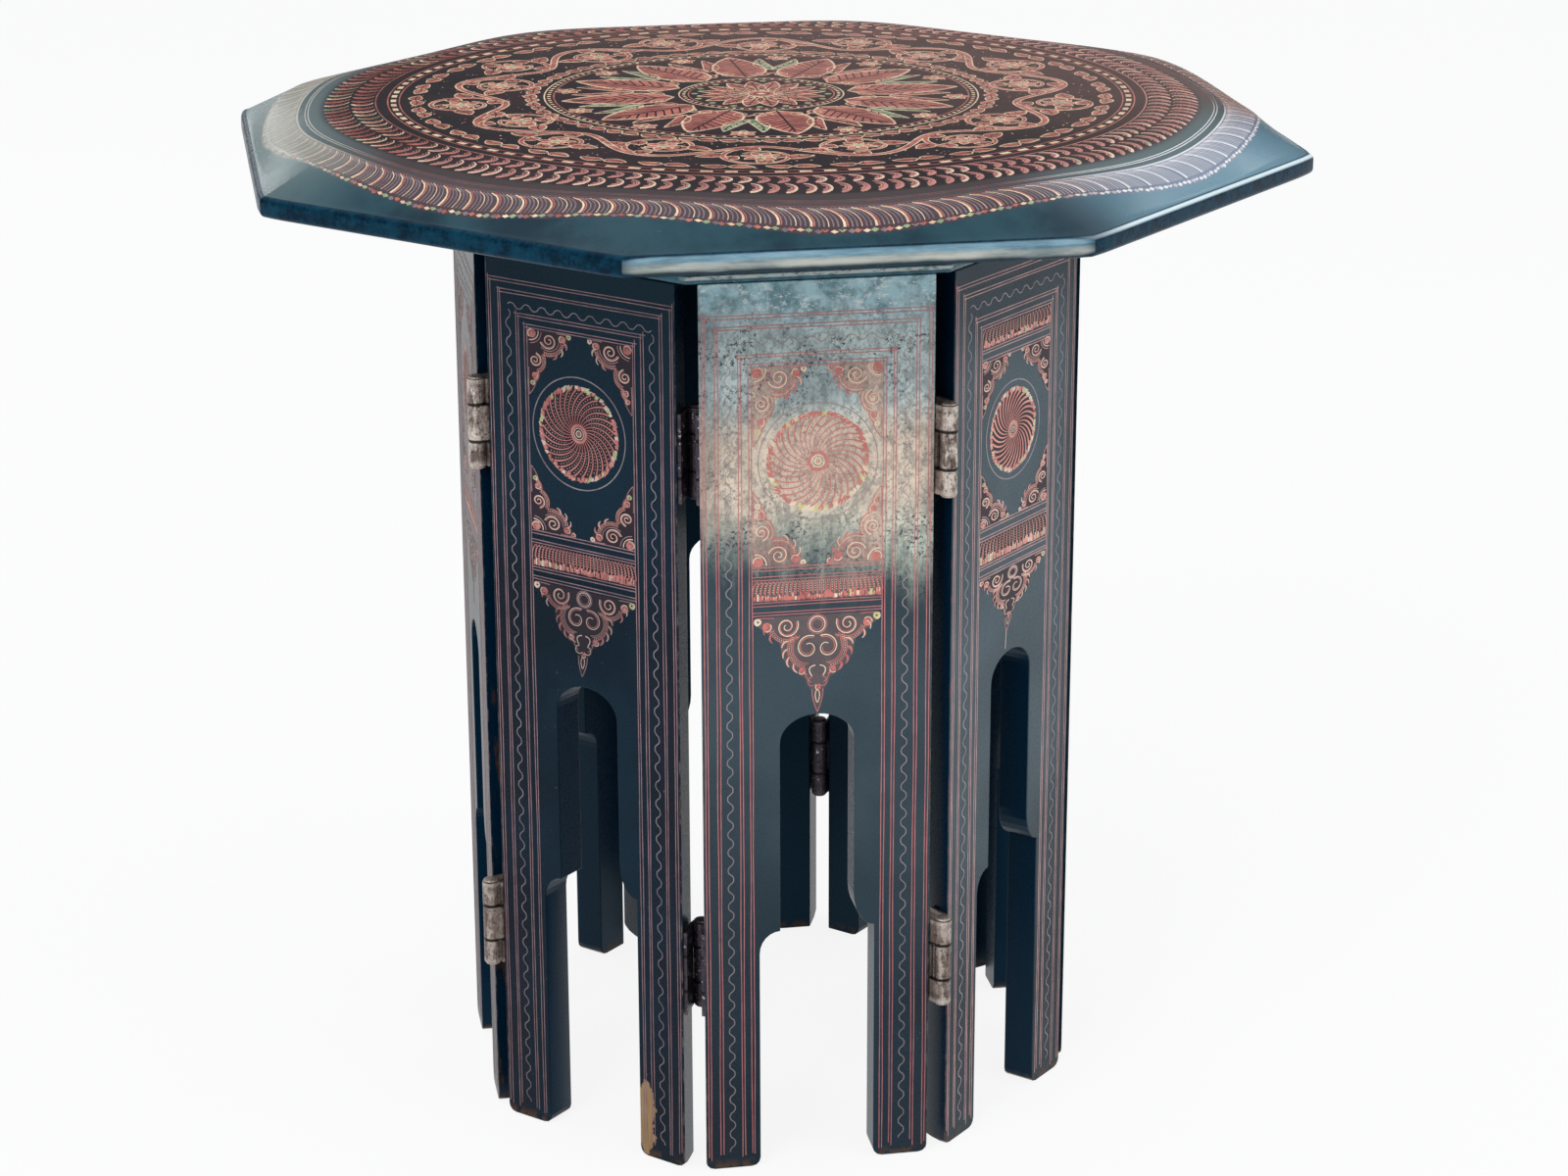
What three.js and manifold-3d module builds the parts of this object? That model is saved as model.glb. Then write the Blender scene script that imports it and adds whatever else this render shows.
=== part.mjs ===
// Folding octagonal tea table: a ring of eight hinged panels under a loose top.
// Millimetres, +Z up. The origin is on the floor under the centre of the table,
// and the front panel faces -Y.

import * as THREE from 'three';
import { mergeVertices } from 'three/addons/utils/BufferGeometryUtils.js';
import Module from 'manifold-3d';

const wasm = await Module();
wasm.setup();

// Driving dimensions of the folding base
const SIDES = 8;
const PANEL_WIDTH = 126;
const PANEL_HEIGHT = 508;
const PANEL_THICKNESS = 19;
const SEAM_GAP = 12.2;
const FOOT_CORNER_RADIUS = 5;

// The cut-out that leaves two feet on each panel: an arched slot over a wider opening
const FEET_OPENING_WIDTH = 64;
const SLOT_WIDTH = 41;
const SLOT_APEX_HEIGHT = 268;
const ARCH_RISE = 16;
const SHOULDER_HEIGHT = 142;
const LEFT_SHOULDER_DROP = 13;
const RIGHT_SHOULDER_RISE = 19;
const ARCH_STEPS = 16;
const SHOULDER_STEPS = 6;
const FOOT_CORNER_STEPS = 3;

// The panels were cut by hand: how much higher than on the front panel the arch and the
// shoulders over the feet are on each, in the order of the panel names
const ARCH_RAISED = [0, 12, 3, 8, 2, 11, 6, 5];
const SHOULDERS_RAISED = [0, 14, 6, 10, 3, 12, 8, 13];

// Butt hinges, two in each seam, riveted round a loose pin
const HINGE_LENGTH = 49;
const UPPER_HINGE_HEIGHT = 413;
const LOWER_HINGE_HEIGHT = 118;
const MIDDLE_KNUCKLE_LENGTH = 20.4;
const KNUCKLE_GAP = 0.3;
const KNUCKLE_RADIUS = 4.8;
const PIN_RADIUS = 1.9;
const PIN_CLEARANCE = 0.3;
const PIN_HEAD_RADIUS = 4.3;
const PIN_HEAD_HEIGHT = 1.6;
const PIN_HEAD_RIM = 0.6;
const PIN_STANDOFF = 1.6;
const LEAF_THICKNESS = 1.8;
const LEAF_REACH = 18;
const LEAF_SEAT_GAP = 0.3;
const LEAF_CLEARANCE = 0.4;
const NECK_REACH = 3.5;
const KNUCKLE_STEPS = 14;
const BORE_STEPS = 12;
const PIN_STEPS = 12;
const PIN_HEAD_STEPS = 3;

// Octagonal frame between the panels and the tabletop
const SEAT_GAP = 0.3;
const FRAME_HEIGHT = 32.4;
const FRAME_WIDTH = 28;
const FRAME_BEAD_HEIGHT = 7;
const FRAME_BEAD_OVERHANG = 1.5;
const FRAME_BEAD_STEPS = 5;

// Tabletop: an octagonal rim rising by a bevel to a round field, flat in the middle
// and curving down to its edge, further at the sides than at the corners
const TOP_APOTHEM = 283;
const RIM_HEIGHT = 11;
const RIM_EDGE_RADIUS = 3;
const RIM_EDGE_STEPS = 3;
const FIELD_RADIUS = 273;
const FIELD_RISE = 21;
const FLAT_RADIUS = 204;
const SIDE_DROP = 13.7;
const CORNER_DROP = 7;
const FIELD_CURVE_POWER = 2.5;
const FIELD_STEPS = 5;
const TOP_STEPS_PER_SIDE = 12;

// Derived sizes
const SECTOR = (2 * Math.PI) / SIDES;
const HALF_SECTOR = SECTOR / 2;
const CORNER_FACTOR = 1 / Math.cos(HALF_SECTOR);
const SEAM_HALF_GAP = SEAM_GAP / 2;
const HALF_SIDE = PANEL_WIDTH / 2 + SEAM_HALF_GAP * CORNER_FACTOR;
const BASE_APOTHEM = HALF_SIDE / Math.tan(HALF_SECTOR);
const OUTSIDE_PIN_RADIUS = (BASE_APOTHEM + PIN_STANDOFF) * CORNER_FACTOR;
const INSIDE_PIN_RADIUS = (BASE_APOTHEM - PANEL_THICKNESS - PIN_STANDOFF) * CORNER_FACTOR;
const FRAME_BOTTOM = PANEL_HEIGHT + SEAT_GAP;
const FRAME_TOP = FRAME_BOTTOM + FRAME_HEIGHT;
const TOP_UNDERSIDE = FRAME_TOP + SEAT_GAP;
const RIM_TOP = TOP_UNDERSIDE + RIM_HEIGHT;
const FIELD_TOP = RIM_TOP + FIELD_RISE;

// Panels are named by where they stand, counter-clockwise seen from above
const PANEL_NAMES = [
  'front_panel', 'front_right_panel', 'right_panel', 'back_right_panel',
  'back_panel', 'back_left_panel', 'left_panel', 'front_left_panel',
];

const panelLacquer = new THREE.MeshStandardMaterial({ color: 0x16242a, roughness: 0.35, metalness: 0 });
const frameLacquer = new THREE.MeshStandardMaterial({ color: 0x121a1e, roughness: 0.3, metalness: 0 });
const topLacquer = new THREE.MeshStandardMaterial({ color: 0x331d20, roughness: 0.35, metalness: 0 });
const hingeMetal = new THREE.MeshStandardMaterial({ color: 0x766a5c, roughness: 0.55, metalness: 0.8 });

// Solid geometry

function toSolid(geometry) {
  const bare = geometry.clone();
  bare.deleteAttribute('normal');
  bare.deleteAttribute('uv');
  const welded = mergeVertices(bare, 1e-4);
  return new wasm.Manifold(new wasm.Mesh({
    numProp: 3,
    vertProperties: new Float32Array(welded.attributes.position.array),
    triVerts: new Uint32Array(welded.index.array),
  }));
}

function toGeometry(solid) {
  const mesh = solid.getMesh();
  const geometry = new THREE.BufferGeometry();
  geometry.setAttribute('position', new THREE.BufferAttribute(mesh.vertProperties, 3));
  geometry.setIndex(new THREE.BufferAttribute(mesh.triVerts, 1));
  geometry.computeVertexNormals();
  return geometry;
}

// Points along a quarter or any other stretch of an ellipse, both ends included
function ellipseArc(centreX, centreY, radiusX, radiusY, startAngle, endAngle, steps) {
  const points = [];
  for (let i = 0; i <= steps; i += 1) {
    const angle = startAngle + ((endAngle - startAngle) * i) / steps;
    points.push(new THREE.Vector2(
      centreX + radiusX * Math.cos(angle),
      centreY + radiusY * Math.sin(angle),
    ));
  }
  return points;
}

function extrudeUp(shape, bottom, top) {
  const geometry = new THREE.ExtrudeGeometry(shape, { depth: top - bottom, bevelEnabled: false });
  geometry.translate(0, 0, bottom);
  return geometry;
}

// Panels

// The front view of a panel, seen from outside: x across, y up
function panelOutline(side) {
  const half = PANEL_WIDTH / 2;
  const feet = FEET_OPENING_WIDTH / 2;
  const slot = SLOT_WIDTH / 2;
  const round = FOOT_CORNER_RADIUS;
  const step = feet - slot;
  const archSpring = SLOT_APEX_HEIGHT + ARCH_RAISED[side] - ARCH_RISE;
  const shoulderHeight = SHOULDER_HEIGHT + SHOULDERS_RAISED[side];
  const quarter = Math.PI / 2;
  const points = [
    new THREE.Vector2(-half, PANEL_HEIGHT),
    ...ellipseArc(-half + round, round, round, round, 2 * quarter, 3 * quarter, FOOT_CORNER_STEPS),
    ...ellipseArc(-feet - round, round, round, round, 3 * quarter, 4 * quarter, FOOT_CORNER_STEPS),
    ...leftShoulder(-slot, step, shoulderHeight),
    ...ellipseArc(0, archSpring, slot, ARCH_RISE, 2 * quarter, 0, ARCH_STEPS),
    ...rightShoulder(slot, step, shoulderHeight),
    ...ellipseArc(feet + round, round, round, round, 2 * quarter, 3 * quarter, FOOT_CORNER_STEPS),
    ...ellipseArc(half - round, round, round, round, 3 * quarter, 4 * quarter, FOOT_CORNER_STEPS),
    new THREE.Vector2(half, PANEL_HEIGHT),
  ];
  return new THREE.Shape(points);
}

// A hollow quarter round that ends in a sharp corner at the slot
function leftShoulder(slotEdge, step, height) {
  const base = height - LEFT_SHOULDER_DROP;
  return ellipseArc(slotEdge, base, step, LEFT_SHOULDER_DROP, Math.PI, Math.PI / 2, SHOULDER_STEPS);
}

// A full quarter round that leaves a sharp corner at the foot
function rightShoulder(slotEdge, step, height) {
  const top = height + RIGHT_SHOULDER_RISE;
  return ellipseArc(
    slotEdge + step, top, step, RIGHT_SHOULDER_RISE, Math.PI, 1.5 * Math.PI, SHOULDER_STEPS,
  );
}

// The plan of a panel: its edges are mitred to the half angle of the octagon
function panelPlan() {
  const half = PANEL_WIDTH / 2;
  const innerHalf = half - PANEL_THICKNESS * Math.tan(HALF_SECTOR);
  return new THREE.Shape([
    new THREE.Vector2(-half, -BASE_APOTHEM),
    new THREE.Vector2(half, -BASE_APOTHEM),
    new THREE.Vector2(innerHalf, -BASE_APOTHEM + PANEL_THICKNESS),
    new THREE.Vector2(-innerHalf, -BASE_APOTHEM + PANEL_THICKNESS),
  ]);
}

function panelGeometry(side) {
  const front = new THREE.ExtrudeGeometry(panelOutline(side), {
    depth: 3 * PANEL_THICKNESS,
    bevelEnabled: false,
  });
  front.rotateX(Math.PI / 2);
  front.translate(0, -BASE_APOTHEM + 2 * PANEL_THICKNESS, 0);
  const board = extrudeUp(panelPlan(), 0, PANEL_HEIGHT);
  return toGeometry(toSolid(board).intersect(toSolid(front)));
}

// Hinges, drawn in plan with the pin at the origin. x runs across the seam towards
// the leaf's own panel, y runs along the mitred edge away from the pin.

const LEAF_OUTER = SEAM_HALF_GAP - LEAF_SEAT_GAP;
const LEAF_INNER = LEAF_OUTER - LEAF_THICKNESS;
const LEAF_START = Math.sqrt((KNUCKLE_RADIUS + LEAF_CLEARANCE) ** 2 - LEAF_INNER ** 2);

// A knuckle rolled round the pin, with the neck that leads into the leaf
function knuckleSection() {
  const cornerAngle = Math.atan2(NECK_REACH, LEAF_OUTER);
  const cornerDistance = Math.hypot(NECK_REACH, LEAF_OUTER);
  const tangentAngle = cornerAngle - Math.acos(KNUCKLE_RADIUS / cornerDistance);
  const insideAngle = Math.asin(Math.sqrt(KNUCKLE_RADIUS ** 2 - LEAF_INNER ** 2) / KNUCKLE_RADIUS);
  const neckEnd = LEAF_START + LEAF_THICKNESS;
  const section = new THREE.Shape([
    new THREE.Vector2(LEAF_INNER, neckEnd),
    new THREE.Vector2(LEAF_OUTER, neckEnd),
    new THREE.Vector2(LEAF_OUTER, NECK_REACH),
    ...ellipseArc(
      0, 0, KNUCKLE_RADIUS, KNUCKLE_RADIUS,
      tangentAngle, insideAngle - 2 * Math.PI, KNUCKLE_STEPS,
    ),
  ]);
  const boreRadius = PIN_RADIUS + PIN_CLEARANCE;
  const bore = ellipseArc(0, 0, boreRadius, boreRadius, 0, 2 * Math.PI, BORE_STEPS);
  section.holes.push(new THREE.Path(bore.slice(0, BORE_STEPS)));
  return section;
}

function leafGeometry(knuckleSpans) {
  const half = HINGE_LENGTH / 2;
  const plate = new THREE.Shape([
    new THREE.Vector2(LEAF_INNER, LEAF_START),
    new THREE.Vector2(LEAF_OUTER, LEAF_START),
    new THREE.Vector2(LEAF_OUTER, LEAF_REACH),
    new THREE.Vector2(LEAF_INNER, LEAF_REACH),
  ]);
  let leaf = toSolid(extrudeUp(plate, -half, half));
  for (const [bottom, top] of knuckleSpans) {
    leaf = leaf.add(toSolid(extrudeUp(knuckleSection(), bottom, top)));
  }
  return toGeometry(leaf);
}

// The fork leaf carries the two end knuckles, the tongue leaf the middle one
function forkLeafGeometry() {
  const half = HINGE_LENGTH / 2;
  const inner = MIDDLE_KNUCKLE_LENGTH / 2 + KNUCKLE_GAP;
  return leafGeometry([[-half, -inner], [inner, half]]);
}

function tongueLeafGeometry() {
  const half = MIDDLE_KNUCKLE_LENGTH / 2;
  return leafGeometry([[-half, half]]);
}

// A pin with a low button head at each end, one of them formed by riveting
function pinGeometry() {
  const shankEnd = HINGE_LENGTH / 2 + KNUCKLE_GAP;
  const dome = PIN_HEAD_HEIGHT - PIN_HEAD_RIM;
  const quarter = Math.PI / 2;
  const topHead = [
    new THREE.Vector2(PIN_RADIUS, shankEnd),
    new THREE.Vector2(PIN_HEAD_RADIUS, shankEnd),
    ...ellipseArc(0, shankEnd + PIN_HEAD_RIM, PIN_HEAD_RADIUS, dome, 0, quarter, PIN_HEAD_STEPS),
  ];
  topHead[topHead.length - 1].x = 0;
  const bottomHead = topHead.map((point) => new THREE.Vector2(point.x, -point.y)).reverse();
  const pin = new THREE.LatheGeometry([...bottomHead, ...topHead], PIN_STEPS);
  pin.rotateX(Math.PI / 2);
  return toGeometry(toSolid(pin));
}

// Top

// Distance from the centre to an octagon of the given apothem, in the direction
// of an angle measured from the middle of a side
function octagonRadius(apothem, angle) {
  const fromMiddle = ((angle + HALF_SECTOR) % SECTOR) - HALF_SECTOR;
  return apothem / Math.cos(fromMiddle);
}

// A closed surface through rings of points that share one count. Each ring gives its
// radius and height at an angle. The first and last ring are closed by a point on the axis.
function loftRings(rings, steps) {
  const positions = [0, 0, rings[0](0).z];
  for (const ring of rings) {
    for (let i = 0; i < steps; i += 1) {
      const angle = (i * 2 * Math.PI) / steps;
      const { radius, z } = ring(angle);
      positions.push(radius * Math.sin(angle), -radius * Math.cos(angle), z);
    }
  }
  positions.push(0, 0, rings[rings.length - 1](0).z);
  const indices = [];
  const at = (ring, i) => 1 + ring * steps + (i % steps);
  const lastPoint = 1 + rings.length * steps;
  for (let i = 0; i < steps; i += 1) {
    indices.push(0, at(0, i + 1), at(0, i));
    indices.push(lastPoint, at(rings.length - 1, i), at(rings.length - 1, i + 1));
    for (let ring = 0; ring + 1 < rings.length; ring += 1) {
      indices.push(at(ring, i), at(ring, i + 1), at(ring + 1, i + 1));
      indices.push(at(ring, i), at(ring + 1, i + 1), at(ring + 1, i));
    }
  }
  const geometry = new THREE.BufferGeometry();
  geometry.setAttribute('position', new THREE.Float32BufferAttribute(positions, 3));
  geometry.setIndex(indices);
  geometry.computeVertexNormals();
  return geometry;
}

// How far the edge of the field lies below its middle, most at the middle of a side
function edgeDrop(angle) {
  const towardsCorner = (1 - Math.cos(SIDES * angle)) / 2;
  return SIDE_DROP + (CORNER_DROP - SIDE_DROP) * towardsCorner;
}

function tabletopGeometry() {
  const quarter = Math.PI / 2;
  const octagonRing = (point) => (angle) => ({ radius: octagonRadius(point.x, angle), z: point.y });
  const fieldRing = (share) => (angle) => ({
    radius: FLAT_RADIUS + (FIELD_RADIUS - FLAT_RADIUS) * share,
    z: FIELD_TOP - edgeDrop(angle) * share ** FIELD_CURVE_POWER,
  });
  const edge = RIM_EDGE_RADIUS;
  const lowerEdge = ellipseArc(
    TOP_APOTHEM - edge, TOP_UNDERSIDE + edge, edge, edge, -quarter, 0, RIM_EDGE_STEPS,
  );
  const upperEdge = ellipseArc(
    TOP_APOTHEM - edge, RIM_TOP - edge, edge, edge, 0, quarter, RIM_EDGE_STEPS,
  );
  const field = [];
  for (let i = 0; i <= FIELD_STEPS; i += 1) {
    field.push(fieldRing(1 - i / FIELD_STEPS));
  }
  const rings = [...lowerEdge.map(octagonRing), ...upperEdge.map(octagonRing), ...field];
  return loftRings(rings, SIDES * TOP_STEPS_PER_SIDE);
}

// A mitred ring of eight battens, with a half-round bead along its lower edge
function frameGeometry() {
  const quarter = Math.PI / 2;
  const beadHalf = FRAME_BEAD_HEIGHT / 2;
  const section = [
    new THREE.Vector2(BASE_APOTHEM - FRAME_WIDTH, FRAME_BOTTOM),
    ...ellipseArc(
      BASE_APOTHEM, FRAME_BOTTOM + beadHalf, FRAME_BEAD_OVERHANG, beadHalf,
      -quarter, quarter, FRAME_BEAD_STEPS,
    ),
    new THREE.Vector2(BASE_APOTHEM, FRAME_TOP),
    new THREE.Vector2(BASE_APOTHEM - FRAME_WIDTH, FRAME_TOP),
  ];
  const positions = [];
  for (let corner = 0; corner < SIDES; corner += 1) {
    const angle = (corner + 0.5) * SECTOR;
    for (const point of section) {
      const radius = point.x * CORNER_FACTOR;
      positions.push(radius * Math.sin(angle), -radius * Math.cos(angle), point.y);
    }
  }
  const count = section.length;
  const indices = [];
  for (let corner = 0; corner < SIDES; corner += 1) {
    const here = corner * count;
    const next = ((corner + 1) % SIDES) * count;
    for (let i = 0; i < count; i += 1) {
      const j = (i + 1) % count;
      indices.push(here + i, next + i, next + j);
      indices.push(here + i, next + j, here + j);
    }
  }
  const geometry = new THREE.BufferGeometry();
  geometry.setAttribute('position', new THREE.Float32BufferAttribute(positions, 3));
  geometry.setIndex(indices);
  geometry.computeVertexNormals();
  return geometry;
}

// Assembly

function namedMesh(name, geometry, material) {
  const mesh = new THREE.Mesh(geometry, material);
  mesh.name = name;
  return mesh;
}

// One hinge. The pins of alternate seams stand outside and inside the ring, so the
// leaves are turned over to point away from their pin along the mitred edge.
function hinge(name, pinOutside, shapes) {
  const group = new THREE.Group();
  const fork = namedMesh(`${name}_fork_leaf`, shapes.forkLeaf, hingeMetal);
  const tongue = namedMesh(`${name}_tongue_leaf`, shapes.tongueLeaf, hingeMetal);
  const pin = namedMesh(`${name}_pin`, shapes.pin, hingeMetal);
  if (pinOutside) {
    fork.rotation.y = Math.PI;
    group.position.y = -OUTSIDE_PIN_RADIUS;
  } else {
    fork.rotation.z = Math.PI;
    tongue.rotation.x = Math.PI;
    group.position.y = -INSIDE_PIN_RADIUS;
  }
  group.add(fork, tongue, pin);
  return group;
}

const table = new THREE.Group();
const hingeShapes = {
  forkLeaf: forkLeafGeometry(),
  tongueLeaf: tongueLeafGeometry(),
  pin: pinGeometry(),
};

for (let side = 0; side < SIDES; side += 1) {
  const panel = namedMesh(PANEL_NAMES[side], panelGeometry(side), panelLacquer);
  panel.rotation.z = side * SECTOR;
  table.add(panel);

  // the seam on this panel's counter-clockwise side
  const seam = new THREE.Group();
  seam.rotation.z = (side + 0.5) * SECTOR;
  const pinOutside = side % 2 === 0;
  const upper = hinge(`seam_${side + 1}_upper_hinge`, pinOutside, hingeShapes);
  const lower = hinge(`seam_${side + 1}_lower_hinge`, pinOutside, hingeShapes);
  upper.position.z = UPPER_HINGE_HEIGHT;
  lower.position.z = LOWER_HINGE_HEIGHT;
  seam.add(upper, lower);
  table.add(seam);
}

table.add(namedMesh('top_frame', frameGeometry(), frameLacquer));
table.add(namedMesh('tabletop', tabletopGeometry(), topLacquer));

export default table;
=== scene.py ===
import random
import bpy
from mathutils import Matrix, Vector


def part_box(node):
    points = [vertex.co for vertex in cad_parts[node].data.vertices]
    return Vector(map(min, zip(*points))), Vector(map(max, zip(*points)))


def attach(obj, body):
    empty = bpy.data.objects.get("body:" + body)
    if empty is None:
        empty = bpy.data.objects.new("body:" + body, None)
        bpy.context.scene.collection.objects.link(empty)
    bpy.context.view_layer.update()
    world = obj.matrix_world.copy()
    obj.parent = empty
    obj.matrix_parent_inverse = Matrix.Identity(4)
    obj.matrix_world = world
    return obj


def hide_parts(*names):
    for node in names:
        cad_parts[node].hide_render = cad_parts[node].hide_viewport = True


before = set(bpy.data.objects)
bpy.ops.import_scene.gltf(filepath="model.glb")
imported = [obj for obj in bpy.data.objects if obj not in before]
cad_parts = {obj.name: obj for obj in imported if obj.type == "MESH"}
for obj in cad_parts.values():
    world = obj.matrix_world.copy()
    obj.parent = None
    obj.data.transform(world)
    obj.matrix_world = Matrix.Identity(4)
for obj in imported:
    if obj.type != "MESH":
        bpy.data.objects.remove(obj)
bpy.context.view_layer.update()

from copy import copy
from dataclasses import dataclass
from itertools import count as counter
from math import asin, atan2, cos, dist, hypot, pi, radians, sin, tau

import bpy
from mathutils import Matrix, Vector

# A folding octagonal tea table in dark lacquer with incised, coloured ornament.
# Lengths are in millimetres and turned into metres by MM. On a panel, u runs across
# the outer face and h upwards. On the tabletop, x and y are those of the whole table.
# A colour of three numbers is written as it appears on a screen, from 0 to 255.

MM = 0.001
SIDES = 8
SECTOR = tau / SIDES
HALF_SECTOR = SECTOR / 2
SIDE_NAMES = [
    "front", "front_right", "right", "back_right",
    "back", "back_left", "left", "front_left",
]

# Sizes taken from the frame
panel_low, panel_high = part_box("front_panel")
APOTHEM = -panel_low[1] / MM
PANEL_THICKNESS = (panel_high[1] - panel_low[1]) / MM
PANEL_HALF_WIDTH = panel_high[0] / MM
PANEL_HEIGHT = panel_high[2] / MM
top_low, top_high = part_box("tabletop")
TOP_APOTHEM = -top_low[1] / MM
TOP_UNDERSIDE = top_low[2] / MM

# The tabletop's own sizes. Its face lies a little low, to leave room for the ornament.
ORNAMENT_ROOM = 0.3
FIELD_TOP = top_high[2] / MM - ORNAMENT_ROOM
RIM_TOP = TOP_UNDERSIDE + 11.0
RIM_EDGE_RADIUS = 3.0
RIM_CORNER_ROUNDING = 1.2
FLAT_RADIUS = 204.0
FIELD_RADIUS = 273.0
SIDE_DROP = 13.7
CORNER_DROP = 7.0
FIELD_CURVE_POWER = 2.5
BIG_BAND_INNER = 255.6
BIG_BAND_OUTER = 275.0

# Camera, fitted to the corners of the panels and of the tabletop in the photograph
CAMERA_PLACE = Vector((-0.34317, -1.98069, 0.96479))
CAMERA_HEADING = radians(10.168)
CAMERA_PITCH = radians(-18.7225)
CAMERA_ROLL = radians(-0.1497)
LENS_MM = 84.09
SENSOR_MM = 36.0


def new_object(name, data):
    """Puts an object with this data into the scene."""
    obj = bpy.data.objects.new(name, data)
    bpy.context.scene.collection.objects.link(obj)
    return obj


def add_camera():
    data = bpy.data.cameras.new("camera")
    data.lens = LENS_MM
    data.sensor_width = SENSOR_MM
    data.sensor_fit = "HORIZONTAL"
    data.clip_end = 100.0
    camera = new_object("camera", data)
    camera.matrix_world = (
        Matrix.Translation(CAMERA_PLACE)
        @ Matrix.Rotation(-CAMERA_HEADING, 4, "Z")
        @ Matrix.Rotation(pi / 2 + CAMERA_PITCH, 4, "X")
        @ Matrix.Rotation(CAMERA_ROLL, 4, "Z")
    )
    bpy.context.scene.camera = camera


# Materials

def colour(red, green, blue):
    """A screen's colour made linear."""
    linear = []
    for value in (red, green, blue):
        share = value / 255
        linear.append(share / 12.92 if share <= 0.04045 else ((share + 0.055) / 1.055) ** 2.4)
    return (*linear, 1.0)


def by_node(operation):
    return lambda value, *others: value.owner.math(operation, value, *others)


class Value:
    """A number worked out by nodes for each place. It is used in sums like a plain number."""

    __add__ = by_node("ADD")
    __sub__ = by_node("SUBTRACT")
    __mul__ = by_node("MULTIPLY")
    __truediv__ = by_node("DIVIDE")
    __abs__ = by_node("ABSOLUTE")

    def __init__(self, owner, socket):
        self.owner = owner
        self.socket = socket

    def __rsub__(self, other):
        return self.owner.math("SUBTRACT", other, self)

    def ramp(self, low, high, to_low=0, to_high=1):
        """Goes smoothly from to_low to to_high as this value goes from low to high."""
        ends = {"From Min": low, "From Max": high, "To Min": to_low, "To Max": to_high}
        return self.owner.node(
            "MapRange", 0, {"Value": self, **ends}, interpolation_type="SMOOTHSTEP")


class Shading:
    """A material whose nodes are added one call at a time. base is its colour so far."""

    def __init__(self, name, base, specular=0.5, tint=(1.0, 1.0, 1.0, 1.0), metallic=0.0):
        self.base = base
        self.material = bpy.data.materials.new(name)
        self.material.use_nodes = True
        self.tree = self.material.node_tree
        self.shader = self.tree.nodes["Principled BSDF"]
        self.shader.inputs["Metallic"].default_value = metallic
        self.shader.inputs["Specular IOR Level"].default_value = specular
        self.shader.inputs["Specular Tint"].default_value = tint
        self.place = self.scaled(self.node("TexCoord", "Object", {}), [1 / MM] * 3)
        self.x, self.y, self.z = self.split(self.place)

    def feed(self, socket, value):
        if isinstance(value, Value):
            self.tree.links.new(value.socket, socket)
        elif socket.type == "RGBA" and len(value) == 3:
            socket.default_value = colour(*value)
        else:
            socket.default_value = value

    def node(self, kind, output, inputs, **settings):
        made = self.tree.nodes.new(f"ShaderNode{kind}")
        for name, setting in settings.items():
            setattr(made, name, setting)
        for name, value in inputs.items():
            self.feed(made.inputs[name], value)
        return Value(self, made.outputs[output])

    def math(self, operation, *values, clamp=False):
        return self.node("Math", 0, dict(enumerate(values)), operation=operation, use_clamp=clamp)

    def mix(self, share, first, second):
        return self.node("Mix", 2, {0: share, 6: first, 7: second}, data_type="RGBA")

    def scaled(self, vector, factors, turn=0.0):
        inputs = {"Vector": vector, "Rotation": (0.0, 0.0, turn), "Scale": factors}
        return self.node("Mapping", 0, inputs)

    def split(self, vector):
        return [self.node("SeparateXYZ", axis, {0: vector}) for axis in "XYZ"]

    def radius(self):
        return self.math("SQRT", self.x * self.x + self.y * self.y)

    def noise(self, size, detail=3, roughness=0.55, stretch=(1, 1, 1), at=None):
        """Cloudy noise from 0 to 1. size is the width of a cloud."""
        return self.node("TexNoise", "Fac", {
            "Vector": self.scaled(at or self.place, stretch),
            "Scale": 1 / size,
            "Detail": detail,
            "Roughness": roughness,
        })

    def spot(self, across, along, centre, radii):
        """1 in the middle of an ellipse, 0 at its edge and outside."""
        x = (across - centre[0]) / radii[0]
        y = (along - centre[1]) / radii[1]
        return (x * x + y * y).ramp(0, 1, 1, 0)

    def lay(self, share, tone):
        """Lays a colour over those before. share is how much of it shows."""
        self.base = self.mix(share, self.base, tone)

    def finish(self, roughness, height, depth):
        """The surface is raised by up to depth where height is 1."""
        normal = self.node("Bump", 0, {"Distance": depth * MM, "Height": height})
        ends = {"Base Color": self.base, "Roughness": roughness, "Normal": normal}
        for name, value in ends.items():
            self.feed(self.shader.inputs[name], value)
        return self.material


LACQUER_BLACK = (4, 17, 31)
LACQUER_BLUE = (10, 32, 48)
LACQUER_PLUM = (32, 22, 32)
LACQUER_INSIDE = (2, 34, 56)
BARE_WOOD = (186, 156, 116)
DARK_WOOD = (96, 66, 42)
COOL_TINT = (0.45, 0.82, 1.0, 1.0)

# A painted sheen's tone, the heights it grows between, and its share at the foot
PAINTED_SHEENS = {
    "front": ((66, 79, 87), 60, 260, 0.25),
    "front_right": ((86, 100, 108), 60, 260, 0.25),
    "front_left": ((16, 38, 54), 300, 420, 0),
}

# A painted glare on the front panel, and a painted sparkling reflection in the strip above it
GLARE_WARM = (254, 234, 212)
GLARE_LOW = (226, 236, 218)
GLARE_COOL = (228, 242, 240)
GLARE_ON_PAINT = (240, 214, 194)
GLARE_FOOT = 332
GLARE_FULL = 386
GLARE_MIDDLE = 3
WHEEL_LEVEL = 411
STRIP_REFLECTION_DARK = (108, 150, 162)
STRIP_REFLECTION_PALE = (188, 228, 238)
STRIP_GLINT = (246, 255, 255)
STRIP_REFLECTION_FOOT = 476
STRIP_REFLECTION_FULL = 500


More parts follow.
